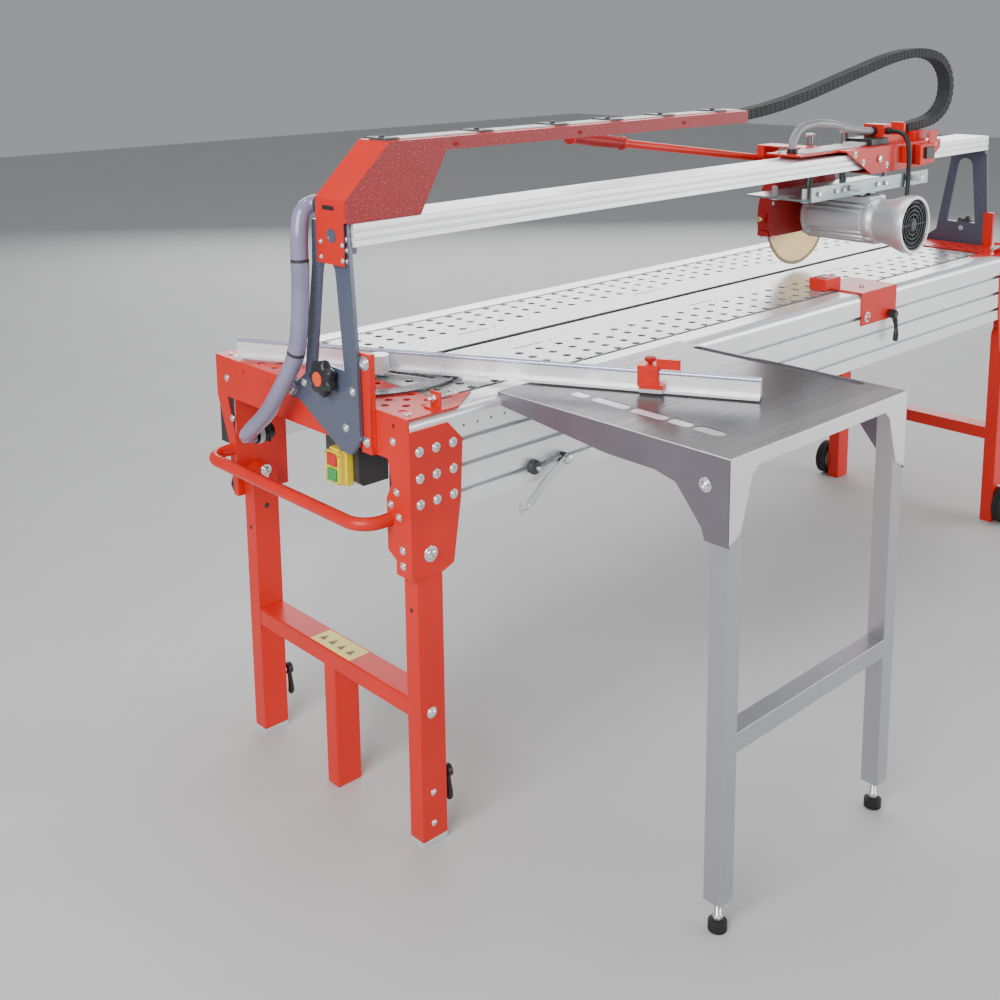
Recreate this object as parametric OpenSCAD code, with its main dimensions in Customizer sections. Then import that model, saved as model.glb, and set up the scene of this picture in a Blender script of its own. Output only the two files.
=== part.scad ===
// Wet bridge saw for tiles: a long table on folding legs, a tilting bridge with a
// sliding motor head, a swivelling squaring bar and a side table.
// X runs along the cut, Y across it, Z up. The cutting line is y = 0 before placing.

/* [Table] */
// Half of the length between the end brackets' outer faces
half_len = 1131; // [1100:1:1160]
// How much further the rear end stands from the blade's side than the front end
rear_extra = 110; // [100:1:120]
// Half of the table's width over its side rails
half_w = 326; // [322:1:330]
// Height of the table's surface above the floor
table_h = 848; // [840:1:852]
// Width of each side rail
rail_w = 64; // [56:1:68]
// Height of each side rail
rail_h = 193; // [185:1:198]
// Half of the slot that the blade runs in
slot_half = 7; // [6:0.5:9]

/* [Legs] */
// Depth of the leg tube along X
leg_d = 60; // [56:1:60]
// Width of the leg tube across Y
leg_w = 38; // [36:1:38]
// Height of the pivot that the legs fold on
leg_pivot_z = 589; // [585:1:595]
// Radius of the transport wheels
wheel_r = 55; // [50:1:56]

/* [Bridge] */
// Underside of the bridge rail
bridge_z = 1145; // [1143:1:1150]
// Height of the bridge rail
bridge_h = 43; // [40:1:44]
// Near face of the bridge rail
bridge_near = -202; // [-204:1:-200]
// Width of the bridge rail
bridge_w = 102; // [98:1:104]
// Top of the cover arm
arm_top = 1328; // [1320:1:1340]

/* [Saw head] */
// Distance of the blade from the middle of the table
blade_x = 541; // [520:1:560]
// Height of the blade's axis
blade_z = 1011; // [1009:1:1015]
// Radius of the blade
blade_r = 150; // [145:1:150]
// Radius of the motor's body
motor_r = 64; // [58:1:66]

/* [Squaring bar] */
// Angle of the bar from square to the cut
bar_angle = 28.4; // [26:0.1:30]
// Distance of the bar's pivot from the middle of the table
bar_pivot_x = -975; // [-980:1:-970]

/* [Side table] */
// Width of the side table along X
side_len = 540; // [530:1:560]
// Distance of its outer edge from the cutting line
side_reach = 856; // [840:1:870]

/* [Hidden] */
$fn = 48;

gap = 0.5;                        // clearance between pieces on different bodies
plate = 3;                        // thickness of folded steel plate
pin_r = 8;                        // radius of the bolts that the legs fold on
shift_y = 265;                    // centres the whole object over the origin
rail_z = table_h - rail_h;
rail_in = half_w - rail_w;        // inner face of the side rails
groove_z = [rail_z + 33, rail_z + 82, rail_z + 132];
leg_x = half_len - 44;            // middle of the leg tubes
near_leg = -half_w + gap;         // outer face of the near legs
far_leg = 220;                    // inner face of the far legs
crossbar_z = 262;
post_x = half_len + 14;           // inner face of the bridge's posts
post_t = 8;
side_x0 = -905;
side_x1 = side_x0 + side_len;
side_in = -half_w - 7;            // inner edge of the side table
side_z = table_h + 7;
foot_x = [side_x0 + 20, side_x1 - 20];
foot_y = -side_reach + 20;
arm_y0 = bridge_near;
arm_y1 = arm_y0 + 92;
saddle_x0 = 262;
saddle_x1 = 930;
column_x = [500, 670];            // the head's two guide columns
motor_end = -300;                 // motor body's end towards the near side
rear_leg_x = leg_x + rear_extra;
knob_at = [-128, 896];            // where the tilt knobs clamp the posts, in Y and Z
hook_x = -745;                    // pivot of the support hook
stop_at = 563;                    // where the stop sits along the squaring bar

// Route of the conduit from the post's cover down to the front bracket
conduit_path = [[-1141, -109.4, 1215], [-1141, -105, 1215], [-1141, -100, 1215],
    [-1152, -84, 1212], [-1172, -82, 1196], [-1182, -86, 1150], [-1184, -88, 1080],
    [-1184, -80, 1000], [-1184, -62, 930], [-1184, -20, 870], [-1184, 42, 798],
    [-1182, 104, 748], [-1176, 136, 725], [-1162, 150, 717], [-1156, 150, 717],
    [-1150.6, 150, 717]];
// Route of the drag chain from the cover arm to the saddle
chain_path = [[20.5, -150, 1314], [60, -150, 1314], [190, -150, 1327], [340, -150, 1352],
    [560, -150, 1398], [740, -150, 1434], [880, -150, 1446], [1000, -150, 1428], [1062, -150, 1372],
    [1056, -150, 1300], [990, -150, 1256], [880, -150, 1240], [812, -150, 1238]];
// Route of the hose loop on top of the saddle
loop_path = [[300, -140, 1203], [304, -140, 1232], [334, -140, 1262], [400, -140, 1272],
    [480, -140, 1266], [560, -140, 1250], [640, -140, 1238], [688, -140, 1236]];
// Route of the motor's cable from the saddle down to the terminal box
cable_path = [[708, -172.6, 1236], [708, -184, 1236], [708, -206, 1235], [708, -228, 1224],
    [708, -241, 1190], [708, -243, 1120], [702, -245, 1060], [684, -249, 1010],
    [660, -250, 988], [633.4, -250, 984]];

// ---- helpers ----

module placed() translate([-rear_extra / 2, shift_y, 0]) children();

module box(x0, x1, y0, y1, z0, z1) translate([x0, y0, z0]) cube([x1 - x0, y1 - y0, z1 - z0]);

// Extrudes an outline in (Y, Z) from x0 to x1
module along_x(x0, x1) translate([x0, 0, 0]) rotate([90, 0, 90]) linear_extrude(x1 - x0) children();

// Extrudes an outline in (X, Z) from y0 to y1
module along_y(y0, y1) translate([0, y1, 0]) rotate([90, 0, 0]) linear_extrude(y1 - y0) children();

module rod_x(r, x0, x1, y, z) translate([x0, y, z]) rotate([0, 90, 0]) cylinder(r = r, h = x1 - x0);

module rod_y(r, y0, y1, x, z) translate([x, y1, z]) rotate([90, 0, 0]) cylinder(r = r, h = y1 - y0);

module rod_z(r, z0, z1, x, y) translate([x, y, z0]) cylinder(r = r, h = z1 - z0);

// Copies its children to the rear end, mirrored about the table's middle
module at_rear() translate([rear_extra, 0, 0]) mirror([1, 0, 0]) children();

// A round-headed bolt head whose axis is Y
module dome_y(r, y, x, z, out = -1) {
    rod_y(r, min(y, y + out * r * 0.7), max(y, y + out * r * 0.7), x, z);
}

function unit(v) = v / norm(v);
function curve_at(p, i, t) = let (
    a = p[max(i - 1, 0)], b = p[i], c = p[i + 1], d = p[min(i + 2, len(p) - 1)])
    0.5 * ((2 * b) + (c - a) * t + (2 * a - 5 * b + 4 * c - d) * t * t
    + (3 * b - a - 3 * c + d) * t * t * t);
function smooth(p, n) = [for (i = [0:len(p) - 2], k = [0:n - 1]) curve_at(p, i, k / n), p[len(p) - 1]];
function heading(p, i) = unit(p[min(i + 1, len(p) - 1)] - p[max(i - 1, 0)]);
function round_outline(r, n) = [for (k = [0:n - 1]) [r * cos(360 * k / n), r * sin(360 * k / n)]];

// Sweeps an outline along a path that never runs parallel to ref
module sweep(path, outline, ref) {
    n = len(outline);
    m = len(path);
    points = [for (i = [0:m - 1]) let (t = heading(path, i), s = unit(cross(t, ref)), u = cross(s, t))
        for (q = outline) path[i] + s * q[0] + u * q[1]];
    sides = [for (i = [0:m - 2], k = [0:n - 1])
        [i * n + k, i * n + (k + 1) % n, (i + 1) * n + (k + 1) % n, (i + 1) * n + k]];
    caps = [[for (k = [n - 1:-1:0]) k], [for (k = [0:n - 1]) (m - 1) * n + k]];
    polyhedron(points = points, faces = concat(sides, caps), convexity = 6);
}

// ---- table and frame ----

module rail_outline() difference() {
    union() {
        translate([-half_w, rail_z]) square([rail_w, rail_h - 18]);
        translate([-half_w + 18, rail_z]) square([rail_w - 18, rail_h]);
        translate([-half_w + 18, table_h - 18]) circle(r = 18);
    }
    for (z = groove_z) {
        translate([-half_w - 1, z - 4.5]) square([7, 9]);
        translate([-half_w + 5, z - 9]) square([7, 18]);
    }
    for (k = [0:2]) translate([-half_w + 16, rail_z + 5 + k * 62]) square([rail_w - 20, 56]);
}

module side_rail_near() placed() color("gainsboro")
    along_x(-half_len + 4, half_len + rear_extra - 4) rail_outline();

module side_rail_far() placed() color("gainsboro")
    along_x(-half_len + 4, half_len + rear_extra - 4) mirror([1, 0]) rail_outline();

module panel_outline() polygon([[-rail_in + 7, table_h], [-slot_half, table_h],
    [-slot_half - 10, table_h - 8], [-rail_in + 7, table_h - 8]]);

module table_panel_near() placed() color("silver")
    along_x(-1000, 1000 + rear_extra) panel_outline();

module table_panel_far() placed() color("silver")
    along_x(-1000, 1000 + rear_extra) mirror([1, 0]) panel_outline();

module table_subframe() placed() color("dimgray") {
    for (x = [-960, -450, 60, 570, 1070]) box(x - 15, x + 15, -rail_in + 0.1, rail_in - 0.1, 770, 799);
    for (y = [-44, 29]) box(-1000, 1000 + rear_extra, y, y + 15, 799.2, table_h - 8.1);
    for (y = [-rail_in + 7, rail_in - 22]) box(-1000, 1000 + rear_extra, y, y + 15, 799.2, table_h - 8.1);
}

module water_tray() placed() color("lightsteelblue") difference() {
    box(-930, 1020, -250, 250, 690, 769);
    box(-928, 1018, -248, 248, 692, 780);
}

module water_pump() placed() color("#30343a") {
    rod_z(38, 692.1, 745, 850, 120);
    rod_z(9, 745, 764, 850, 120);
}

module bracket_front_outline() difference() {
    translate([-half_w + 0.2, 765]) square([2 * half_w - 0.4, 86]);
    for (y = [-285, -230, 120, 215]) translate([y, 830]) circle(r = 4);
}

module bracket_shape() {
    difference() {
        union() {
            along_x(-half_len, -half_len + plate) bracket_front_outline();
            box(-half_len, -1010, -half_w, half_w, table_h + 0.2, table_h + plate);
            for (s = [-1, 1]) translate([0, s * (half_w - rail_w / 2), table_h + 0.2])
                linear_extrude(plate - 0.2) polygon([[-1010, -30 * s], [-1010, 30 * s], [-930, -26 * s]]);
        }
        for (i = [0:3], j = [0:10]) if (j < 4 || j > 6)
            rod_z(8, table_h - 1, table_h + 5, -1105 + i * 26, -280 + j * 52 + (i % 2) * 22);
    }
}

module front_bracket() placed() color("red") bracket_shape();

module rear_bracket() placed() color("red") at_rear() bracket_shape();

// Near gusset: a folded plate on the rail's outer face
module near_gusset() {
    difference() {
        along_y(-half_w - plate, -half_w) polygon([[-half_len, 548], [-1057, 546], [-1031, 556],
            [-1012, 676], [-1006, 790], [-1040, 827], [-half_len, 827]]);
        rod_y(pin_r + 0.05, -half_w - 5, -half_w + 2, -leg_x, leg_pivot_z);
    }
    along_x(-half_len - 0.1, -half_len + plate) polygon([[-half_w - plate, 548], [-half_w + 42, 548],
        [-half_w + 42, 575], [-half_w + 66, 590], [-half_w + 66, 690], [-half_w + 50, 720],
        [-half_w + 60, 764.8], [-half_w - plate, 764.8]]);
}

// Far gusset: a plate on the rail's inner face and a slanted front flange
module far_gusset() {
    difference() {
        box(-half_len + plate, -1006, rail_in - plate - 0.2, rail_in - 0.2, 548, 764);
        rod_y(pin_r + 0.05, rail_in - 10, rail_in + 5, -leg_x, leg_pivot_z);
    }
    along_x(-half_len, -half_len + plate) polygon([[rail_in - plate, 548], [rail_in + 14, 548],
        [rail_in + 26, 664], [half_w, 764.8], [half_w - 40, 764.8], [rail_in - plate, 672]]);
}

module corner_gussets() placed() color("red") {
    near_gusset();
    far_gusset();
    at_rear() near_gusset();
    at_rear() far_gusset();
}

module gusset_bolts() {
    for (x = [-1108, -1069, -1029], z = groove_z) dome_y(6.5, -half_w - plate, x, z);
    rod_y(13, -half_w - 12, -half_w - plate, -leg_x, leg_pivot_z);
    rod_y(pin_r, -half_w - plate, near_leg + leg_w + 4, -leg_x, leg_pivot_z);
    rod_y(13, rail_in - 0.2, rail_in + 8, -leg_x, leg_pivot_z);
    rod_y(pin_r, far_leg - 4, rail_in - 0.2, -leg_x, leg_pivot_z);
    for (z = [722, 600, 640]) rod_x(5.5, -half_len - 4, -half_len - 0.1, -half_w + 22, z);
}

module frame_bolts() placed() color("lightgray") {
    gusset_bolts();
    at_rear() gusset_bolts();
}

// A lift handle: a flat U of round tube that ends on the gussets
module handle_shape() {
    r = 12.5;
    bend = 45;
    y0 = -half_w + 58;
    y1 = rail_in + 12;
    run = -half_len - 62;
    for (y = [y0, y1]) rod_x(r, run + bend, -half_len - 0.2, y, 650);
    rod_y(r, y0 + bend, y1 - bend, run, 650);
    translate([run + bend, y0 + bend, 650]) rotate([0, 0, 180]) rotate_extrude(angle = 90)
        translate([bend, 0]) circle(r = r);
    translate([run + bend, y1 - bend, 650]) rotate([0, 0, 90]) rotate_extrude(angle = 90)
        translate([bend, 0]) circle(r = r);
}

module lift_handles() placed() color("orangered") {
    handle_shape();
    at_rear() handle_shape();
}

module switch_box() placed() color("#2c2e30") {
    difference() {
        along_y(-165, -60) polygon([[-1122, 690], [-1122, 764], [-960, 764], [-960, 700], [-985, 680],
            [-1112, 680]]);
        along_y(-161, -64) polygon([[-1117, 694], [-1117, 760], [-965, 760], [-965, 704], [-988, 685],
            [-1108, 685]]);
        rod_y(8, -60.1 - 8, -50, -1000, 720);
        for (z = [702, 732]) rod_x(9, -1130, -1110, -121, z);
    }
}

module switch_plate() placed() color("gold") difference() {
    box(-1152, -1122.1, -148, -94, 681, 748);
    for (z = [702, 732]) rod_x(10.5, -1160, -1110, -121, z);
}

module cable_glands() placed() color("#202224") {
    difference() {
        rod_y(11, -60, -38, -1000, 720);
        rod_y(5, -61, -30, -1000, 720);
    }
    rod_x(20, -1150, -1128.2, 150, 717);
    box(-half_len + plate + 0.2, -1124, 132, 168, 700, 800);
    rod_x(16, -1128.3, -1112, 150, 717);
}

module button(z) rod_x(8.5, -1157, -1126, -121, z);

module start_button() placed() color("green") button(702);

module stop_button() placed() color("firebrick") button(732);

// Fixed plate under the tilt axis, with the upright stop bracket beside it
module tilt_base_shape() {
    along_x(-half_len - 6, -half_len - 0.3) polygon([[70, 792], [14, 843], [-14, 843], [-60, 812],
        [-130, 775], [-110, 770], [20, 770]]);
    rod_x(9, -half_len - 24, -half_len - 6, 0, table_h);
    difference() {
        box(-1143, -half_len - 0.3, -236, -206, 766, 954);
        box(-1144, -1136, -252, -234, 780, 926);
    }
    along_x(-half_len - 6, -half_len - 0.3) polygon([[-12, 835], [12, 835], [10, 857], [-10, 857]]);
}

module tilt_bases() placed() color("red") {
    tilt_base_shape();
    at_rear() tilt_base_shape();
}

module conduit_hose() placed() color("slategray")
    sweep(smooth(conduit_path, 2), round_outline(17, 10), [1, 1, 0]);

// ---- legs ----

module leg_tube(y0) difference() {
    union() {
        box(-leg_x - leg_d / 2, -leg_x + leg_d / 2, y0, y0 + leg_w, 14, leg_pivot_z);
        rod_y(leg_d / 2, y0, y0 + leg_w, -leg_x, leg_pivot_z);
    }
    box(-leg_x - leg_d / 2 + 2, -leg_x + leg_d / 2 - 2, y0 + 2, y0 + leg_w - 2, 10, leg_pivot_z);
    rod_y(pin_r + 0.05, y0 - 1, y0 + leg_w + 1, -leg_x, leg_pivot_z);
}

module front_leg_near() placed() color("red") leg_tube(near_leg);

module front_leg_far() placed() color("red") leg_tube(far_leg);

module crossbar_shape()
    box(-leg_x - leg_d / 2, -leg_x + leg_d / 2, near_leg + leg_w, far_leg, crossbar_z, crossbar_z + 37);

module front_leg_crossbar() placed() color("red") {
    middle = (near_leg + far_leg + leg_w) / 2;
    crossbar_shape();
    box(-leg_x - leg_d / 2, -leg_x + leg_d / 2, middle - 19, middle + 19, 0, crossbar_z);
}

// A telescoping foot: an inner tube with its plastic tip
module foot_shape(y0) {
    box(-leg_x - 27.4, -leg_x + 27.4, y0 + 2.6, y0 + leg_w - 2.6, 13, 240);
    box(-leg_x - leg_d / 2, -leg_x + leg_d / 2, y0, y0 + leg_w, 0, 13);
}

module front_foot_near() placed() color("lightgray") foot_shape(near_leg);

module front_foot_far() placed() color("lightgray") foot_shape(far_leg);

module clamp_shape(y) {
    rod_x(8, -leg_x + leg_d / 2 + gap, -leg_x + leg_d / 2 + 22, y, 125);
    rod_x(12, -leg_x + leg_d / 2 + 12, -leg_x + leg_d / 2 + 24, y, 125);
    box(-leg_x + leg_d / 2 + 14, -leg_x + leg_d / 2 + 24, y - 7, y + 7, 62, 125);
}

module clamp_lever_near() placed() color("#1c1c1e") clamp_shape(near_leg + leg_w / 2);

module clamp_lever_far() placed() color("#1c1c1e") clamp_shape(far_leg + leg_w / 2);

module leg_lock_pin() placed() color("firebrick") {
    rod_y(7, near_leg + leg_w + gap, near_leg + leg_w + 40, -leg_x - 10, 604);
    rod_y(5.5, near_leg + leg_w + 40, near_leg + leg_w + 62, -leg_x - 10, 604);
}

module rear_axle(y0, y1) rod_y(7.95, y0, y1, rear_leg_x, wheel_r + 2);

// A rear leg stands on its own closed end
module rear_tube(y0) at_rear() {
    leg_tube(y0);
    box(-leg_x - leg_d / 2, -leg_x + leg_d / 2, y0, y0 + leg_w, 0, 14.5);
}

module rear_leg_near() placed() color("red") {
    rear_tube(near_leg);
    rear_axle(near_leg - 44, near_leg + 2);
}

module rear_leg_far() placed() color("red") {
    rear_tube(far_leg);
    rear_axle(far_leg + leg_w - 2, far_leg + leg_w + 42);
}

module rear_leg_crossbar() placed() color("red") at_rear() crossbar_shape();

module wheel_shape(y0) difference() {
    rod_y(wheel_r, y0, y0 + 32, rear_leg_x, wheel_r + 2);
    rod_y(8, y0 - 1, y0 + 33, rear_leg_x, wheel_r + 2);
    rod_y(wheel_r - 17, y0 - 1, y0 + 6, rear_leg_x, wheel_r + 2);
    rod_y(wheel_r - 17, y0 + 26, y0 + 33, rear_leg_x, wheel_r + 2);
}

module rear_wheel_near() placed() color("#26282b") wheel_shape(near_leg - 38);

module rear_wheel_far() placed() color("#26282b") wheel_shape(far_leg + leg_w + 5);

// ---- bridge ----

// A post plate: two legs, an arch between them and a fan down to the tilt axis
module post_outline() difference() {
    polygon([[-195, 1187], [-211, 940], [-214, 790], [-186, 757], [-156, 757], [-14, 834],
        [-14, 862], [-45, 885], [-82, 1104], [-86, 1187]]);
    polygon([[-155, 1092], [-172, 915], [-80, 915], [-108, 1092]]);
    translate([-131.5, 1092]) circle(r = 23);
}

module post_shape() {
    difference() {
        union() {
            along_x(-post_x - post_t, -post_x) post_outline();
            along_x(-post_x - post_t, -post_x) translate([0, table_h]) circle(r = 20);
        }
        rod_x(9.05, -1200, -1100, 0, table_h);
        rod_x(8, -1200, -1100, knob_at.x, knob_at.y);
    }
    box(-post_x, -post_x + 10, bridge_near + 4, bridge_near + bridge_w - 6, bridge_z - 12, bridge_z - 0.1);
}

module front_post() placed() color("slategray") post_shape();

module rear_post() placed() color("slategray") at_rear() post_shape();

module bridge_outline() difference() {
    translate([bridge_near, bridge_z]) square([bridge_w, bridge_h]);
    for (z = [14, 29]) translate([bridge_near - 1, bridge_z + z - 2]) square([4, 4]);
    translate([bridge_near + 8, bridge_z + 5]) square([bridge_w - 16, bridge_h - 10]);
}

module bridge_rail() placed() color("gainsboro")
    along_x(-post_x + 0.1, post_x + rear_extra - 0.1) bridge_outline();

module arm_cover() placed() color("crimson") {
    x0 = -post_x - post_t - 8;
    slant = [[x0, 1230], [-1058, arm_top], [20, arm_top], [20, arm_top - 28], [-923, arm_top - 24],
        [-988, bridge_z + bridge_h + 0.2], [x0 + 8, bridge_z + bridge_h + 0.2], [x0, 1190]];
    difference() {
        along_y(arm_y0, arm_y1) polygon(slant);
        along_y(arm_y0 + 2, arm_y1 - 2) polygon([[x0 + 3, 1228], [-1056, arm_top - 3], [21, arm_top - 3],
            [21, arm_top - 29], [-921, arm_top - 26], [-990, bridge_z + bridge_h - 1],
            [x0 + 3, bridge_z + bridge_h - 1]]);
    }
    box(x0, x0 + 3, arm_y0 + 8, arm_y1 - 1, 1111, 1189.9);
}

module drag_chain() placed() color("#26282b")
    sweep(smooth(chain_path, 3), [[-13, -20], [13, -20], [13, 20], [-13, 20]], [0, 1, 0]);

// A lobed clamp knob with a capped middle
module knob_shape() {
    x0 = -post_x - post_t - 3;
    for (a = [0:60:300])
        rod_x(11, x0 - 26, x0 - 4, knob_at.x + 25 * cos(a), knob_at.y + 25 * sin(a));
    rod_x(27, x0 - 26, x0 - 4, knob_at.x, knob_at.y);
    rod_x(14, x0 - 32, x0 - 26, knob_at.x, knob_at.y);
    rod_x(7.95, x0 - 4, -post_x + 2, knob_at.x, knob_at.y);
}

module tilt_knob_front() placed() color("#303338") knob_shape();

module tilt_knob_rear() placed() color("#303338") at_rear() knob_shape();

// ---- carriage ----

module carriage_saddle() placed() color("firebrick") {
    top = bridge_z + bridge_h;
    near = bridge_near - 8;
    far = bridge_near + bridge_w + 8;
    difference() {
        union() {
            box(saddle_x0 + 180, saddle_x1, near - 5, far + 5, top + 9, top + 14);
            box(saddle_x0, saddle_x0 + 180, near + 20, far + 5, top + 9, top + 14);
            along_y(near - 5, near) polygon([[saddle_x0 + 180, top + 9], [saddle_x0 + 300, 1131],
                [saddle_x1 - 80, 1131], [saddle_x1, top - 10], [saddle_x1, top + 9]]);
            along_y(far, far + 5) polygon([[saddle_x0 + 60, top + 9], [saddle_x0 + 60, 1131],
                [saddle_x1 - 80, 1131], [saddle_x1, top - 10], [saddle_x1, top + 9]]);
            box(saddle_x0 + 60, saddle_x0 + 180, far, far + 5, 1131, top + 9);
            box(saddle_x0 + 300, saddle_x1 - 80, near, far, 1131, 1135.5);
            for (x = column_x) rod_z(15, 1131, 1182, x, -62);
            for (x = column_x) box(x - 8, x + 8, far + 4, -74, 1131, 1182);
        }
        for (x = column_x) rod_z(10.05, 1120, 1220, x, -62);
        for (x = [520, 820]) rod_y(6, near - 6, near + 1, x, bridge_z + 21);
    }
    box(690, 730, -172, -110, top + 13.9, 1254);
    box(730, 811.8, -170, -130, top + 13.9, 1222);
    box(800, 811.8, -170, -130, 1221.9, 1254);
}

module carriage_rollers() placed() color("lightgray") {
    for (x = [600, 820], z = [bridge_z - 4.6, bridge_z + bridge_h + 4.4])
        rod_y(4.1, bridge_near + 6, bridge_near + bridge_w - 6, x, z);
    for (x = [600, 820]) rod_y(11, bridge_near - 20, bridge_near - 13.1, x, bridge_z + 24);
}

module carriage_handle() placed() color("#9aa0a6") {
    rise = atan(110 / 778);
    box(400, 470, -110, 41, bridge_z + bridge_h + 14.1, 1206);
    box(400, 470, 18, 41, 1150, 1202.2);
    translate([430, 30, 1166]) rotate([0, -90 + rise, 0]) cylinder(r = 10, h = 790);
    translate([430, 30, 1166]) rotate([0, -90 + rise, 0]) translate([0, 0, 600]) cylinder(r = 17, h = 196);
}

module cable_loop() placed() color("darkgray")
    sweep(smooth(loop_path, 2), round_outline(11, 10), [0, 1, 0]);

// ---- saw head ----

module motor_bracket() placed() color("#7b8a8c") {
    box(250, 830, -230, -34, 1086, 1091);
    box(250, 830, -235, -230, 1086, 1124);
    for (x = column_x) rod_z(10, 1091, 1236, x, -62);
    for (x = [blade_x - 25, blade_x + 25]) box(x - 12, x + 12, -220, -60, 1078, 1086);
}

module motor_housing() placed() color("silver") {
    difference() {
        rod_y(motor_r, motor_end, -50, blade_x, blade_z);
        for (k = [0:11]) let (a = 15 + 30 * k) if (a < 50 || a > 130)
            translate([blade_x + (motor_r + 1) * cos(a), 0, blade_z + (motor_r + 1) * sin(a)])
            rotate([90, 0, 0]) translate([0, 0, 70]) cylinder(r = 5, h = 220);
    }
    rod_y(27, -50, -21, blade_x, blade_z);
    box(blade_x - 40, blade_x + 40, -290, -60, blade_z + 40, 1078);
    box(blade_x + 20, blade_x + 92, -280, -220, blade_z - 56, blade_z + 6);
}

module fan_cover() placed() color("darkgray") difference() {
    rod_y(motor_r + 13, -362, motor_end, blade_x, blade_z);
    rod_y(motor_r + 1, -363, -358, blade_x, blade_z);
}

module motor_cable() placed() color("#1c1c1e")
    sweep(smooth(cable_path, 2), round_outline(6.5, 8), [1, 1, 0]);

module blade_guard() placed() color("firebrick") difference() {
    rod_y(blade_r + 22, -26, 12, blade_x, blade_z);
    rod_y(blade_r + 19, -23.5, 9.5, blade_x, blade_z);
    rod_y(27.05, -27, -20, blade_x, blade_z);
    box(blade_x - 200, blade_x + 200, -40, 40, blade_z - 200, blade_z - 51);
}

module saw_blade() placed() color("#c8a860") difference() {
    rod_y(blade_r, -1.5, 1.5, blade_x, blade_z);
    rod_y(12.7, -2, 2, blade_x, blade_z);
}

module blade_flange() placed() color("lightgray") {
    rod_y(12.65, -1.5, 1.5, blade_x, blade_z);
    rod_y(30, -5.5, -1.5, blade_x, blade_z);
    rod_y(30, 1.5, 5.5, blade_x, blade_z);
    rod_y(11, -20.4, -5.5, blade_x, blade_z);
    rod_y(8, 5.5, 9, blade_x, blade_z);
}

// ---- squaring bar and stops ----

module at_bar() translate([bar_pivot_x, 0, 0]) rotate([0, 0, bar_angle - 90]) children();

module protractor() placed() color("dimgray") {
    difference() {
        translate([bar_pivot_x, 0, table_h + plate + 0.1]) cylinder(r = 34, h = 4);
        translate([bar_pivot_x, 0, 0]) cylinder(r = 8.05, h = 1000);
    }
    translate([bar_pivot_x, 0, table_h + plate + 0.1]) difference() {
        rotate([0, 0, -132]) rotate_extrude(angle = 74) translate([170, 0]) square([34, 4]);
        box(0, 300, -40, 40, -1, 10);
    }
    for (a = [-125, -70]) translate([bar_pivot_x, 0, table_h + plate + 0.1]) rotate([0, 0, a])
        translate([30, -9, 0]) cube([145, 18, 4]);
}

module bar_outline() {
    translate([-26, 0]) square([44, 5]);
    translate([-12, 4.9]) square([24, 28]);
    translate([-8, 34.5]) circle(r = 5);
}

module mitre_bar() placed() color("gainsboro") {
    at_bar() along_x(-290, 790) translate([0, 858]) bar_outline();
    translate([bar_pivot_x, 0, 0]) rod_z(8, table_h + plate + 0.3, 860, 0, 0);
    at_bar() translate([36, -62, 858]) cube([28, 40, 4]);
    at_bar() translate([50, -46, 861.9]) cylinder(r = 19, h = 34);
}

module bar_stop() placed() color("red") at_bar() {
    difference() {
        along_x(stop_at, stop_at + 40) polygon([[-19, 866], [18, 866], [18, 906], [-19, 906]]);
        along_x(stop_at - 5, stop_at + 45) polygon([[-13.6, 860], [12.6, 860], [12.6, 891.6],
            [-2.4, 891.6], [-2.4, 898.4], [-13.6, 898.4]]);
    }
    along_x(stop_at + 7, stop_at + 52) polygon([[-35, 866], [-18.9, 866], [-18.9, 876], [-35, 874]]);
    along_x(stop_at + 35, stop_at + 80) polygon([[-16, 901], [-10, 901], [-10, 920], [-16, 920]]);
}

module side_stop() placed() color("red") {
    box(352, 520, -half_w - plate - 0.5, -half_w - 0.5, 766, table_h + 4);
    box(352, 520, -half_w - plate - 0.5, -190, table_h + 1, table_h + 5);
    box(322, 392, -240, -190, table_h + 1, table_h + 31);
    rod_y(4.2, -half_w - plate - 0.5, -half_w + 5, 378, groove_z[2]);
    rod_y(8.5, -half_w + 5.5, -half_w + 10.5, 378, groove_z[2]);
    rod_y(4.2, -half_w + 4.9, -half_w + 5.6, 378, groove_z[2]);
    rod_y(9, -half_w - plate - 8, -half_w - plate - 0.5, 378, groove_z[2]);
}

module side_stop_lever() placed() color("#1c1c1e") {
    rod_y(11, -half_w - 30, -half_w - plate - 1, 488, groove_z[2] - 8);
    box(481, 495, -half_w - 30, -half_w - 18, 706, groove_z[2] - 8);
}

module hook_lever() placed() color("lightgray") translate([hook_x, 0, groove_z[0]]) {
    rod_y(11, -half_w - 24, -half_w - gap, 0, 0);
    along_y(-half_w - 20, -half_w - 14) polygon([[0, 9], [9, 0], [-70, -43], [-101, -76],
        [-112, -83], [-124, -79], [-128, -65], [-121, -65], [-117, -74], [-110, -74], [-95, -41],
        [-76, -29]]);
}

// ---- side table ----

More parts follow.
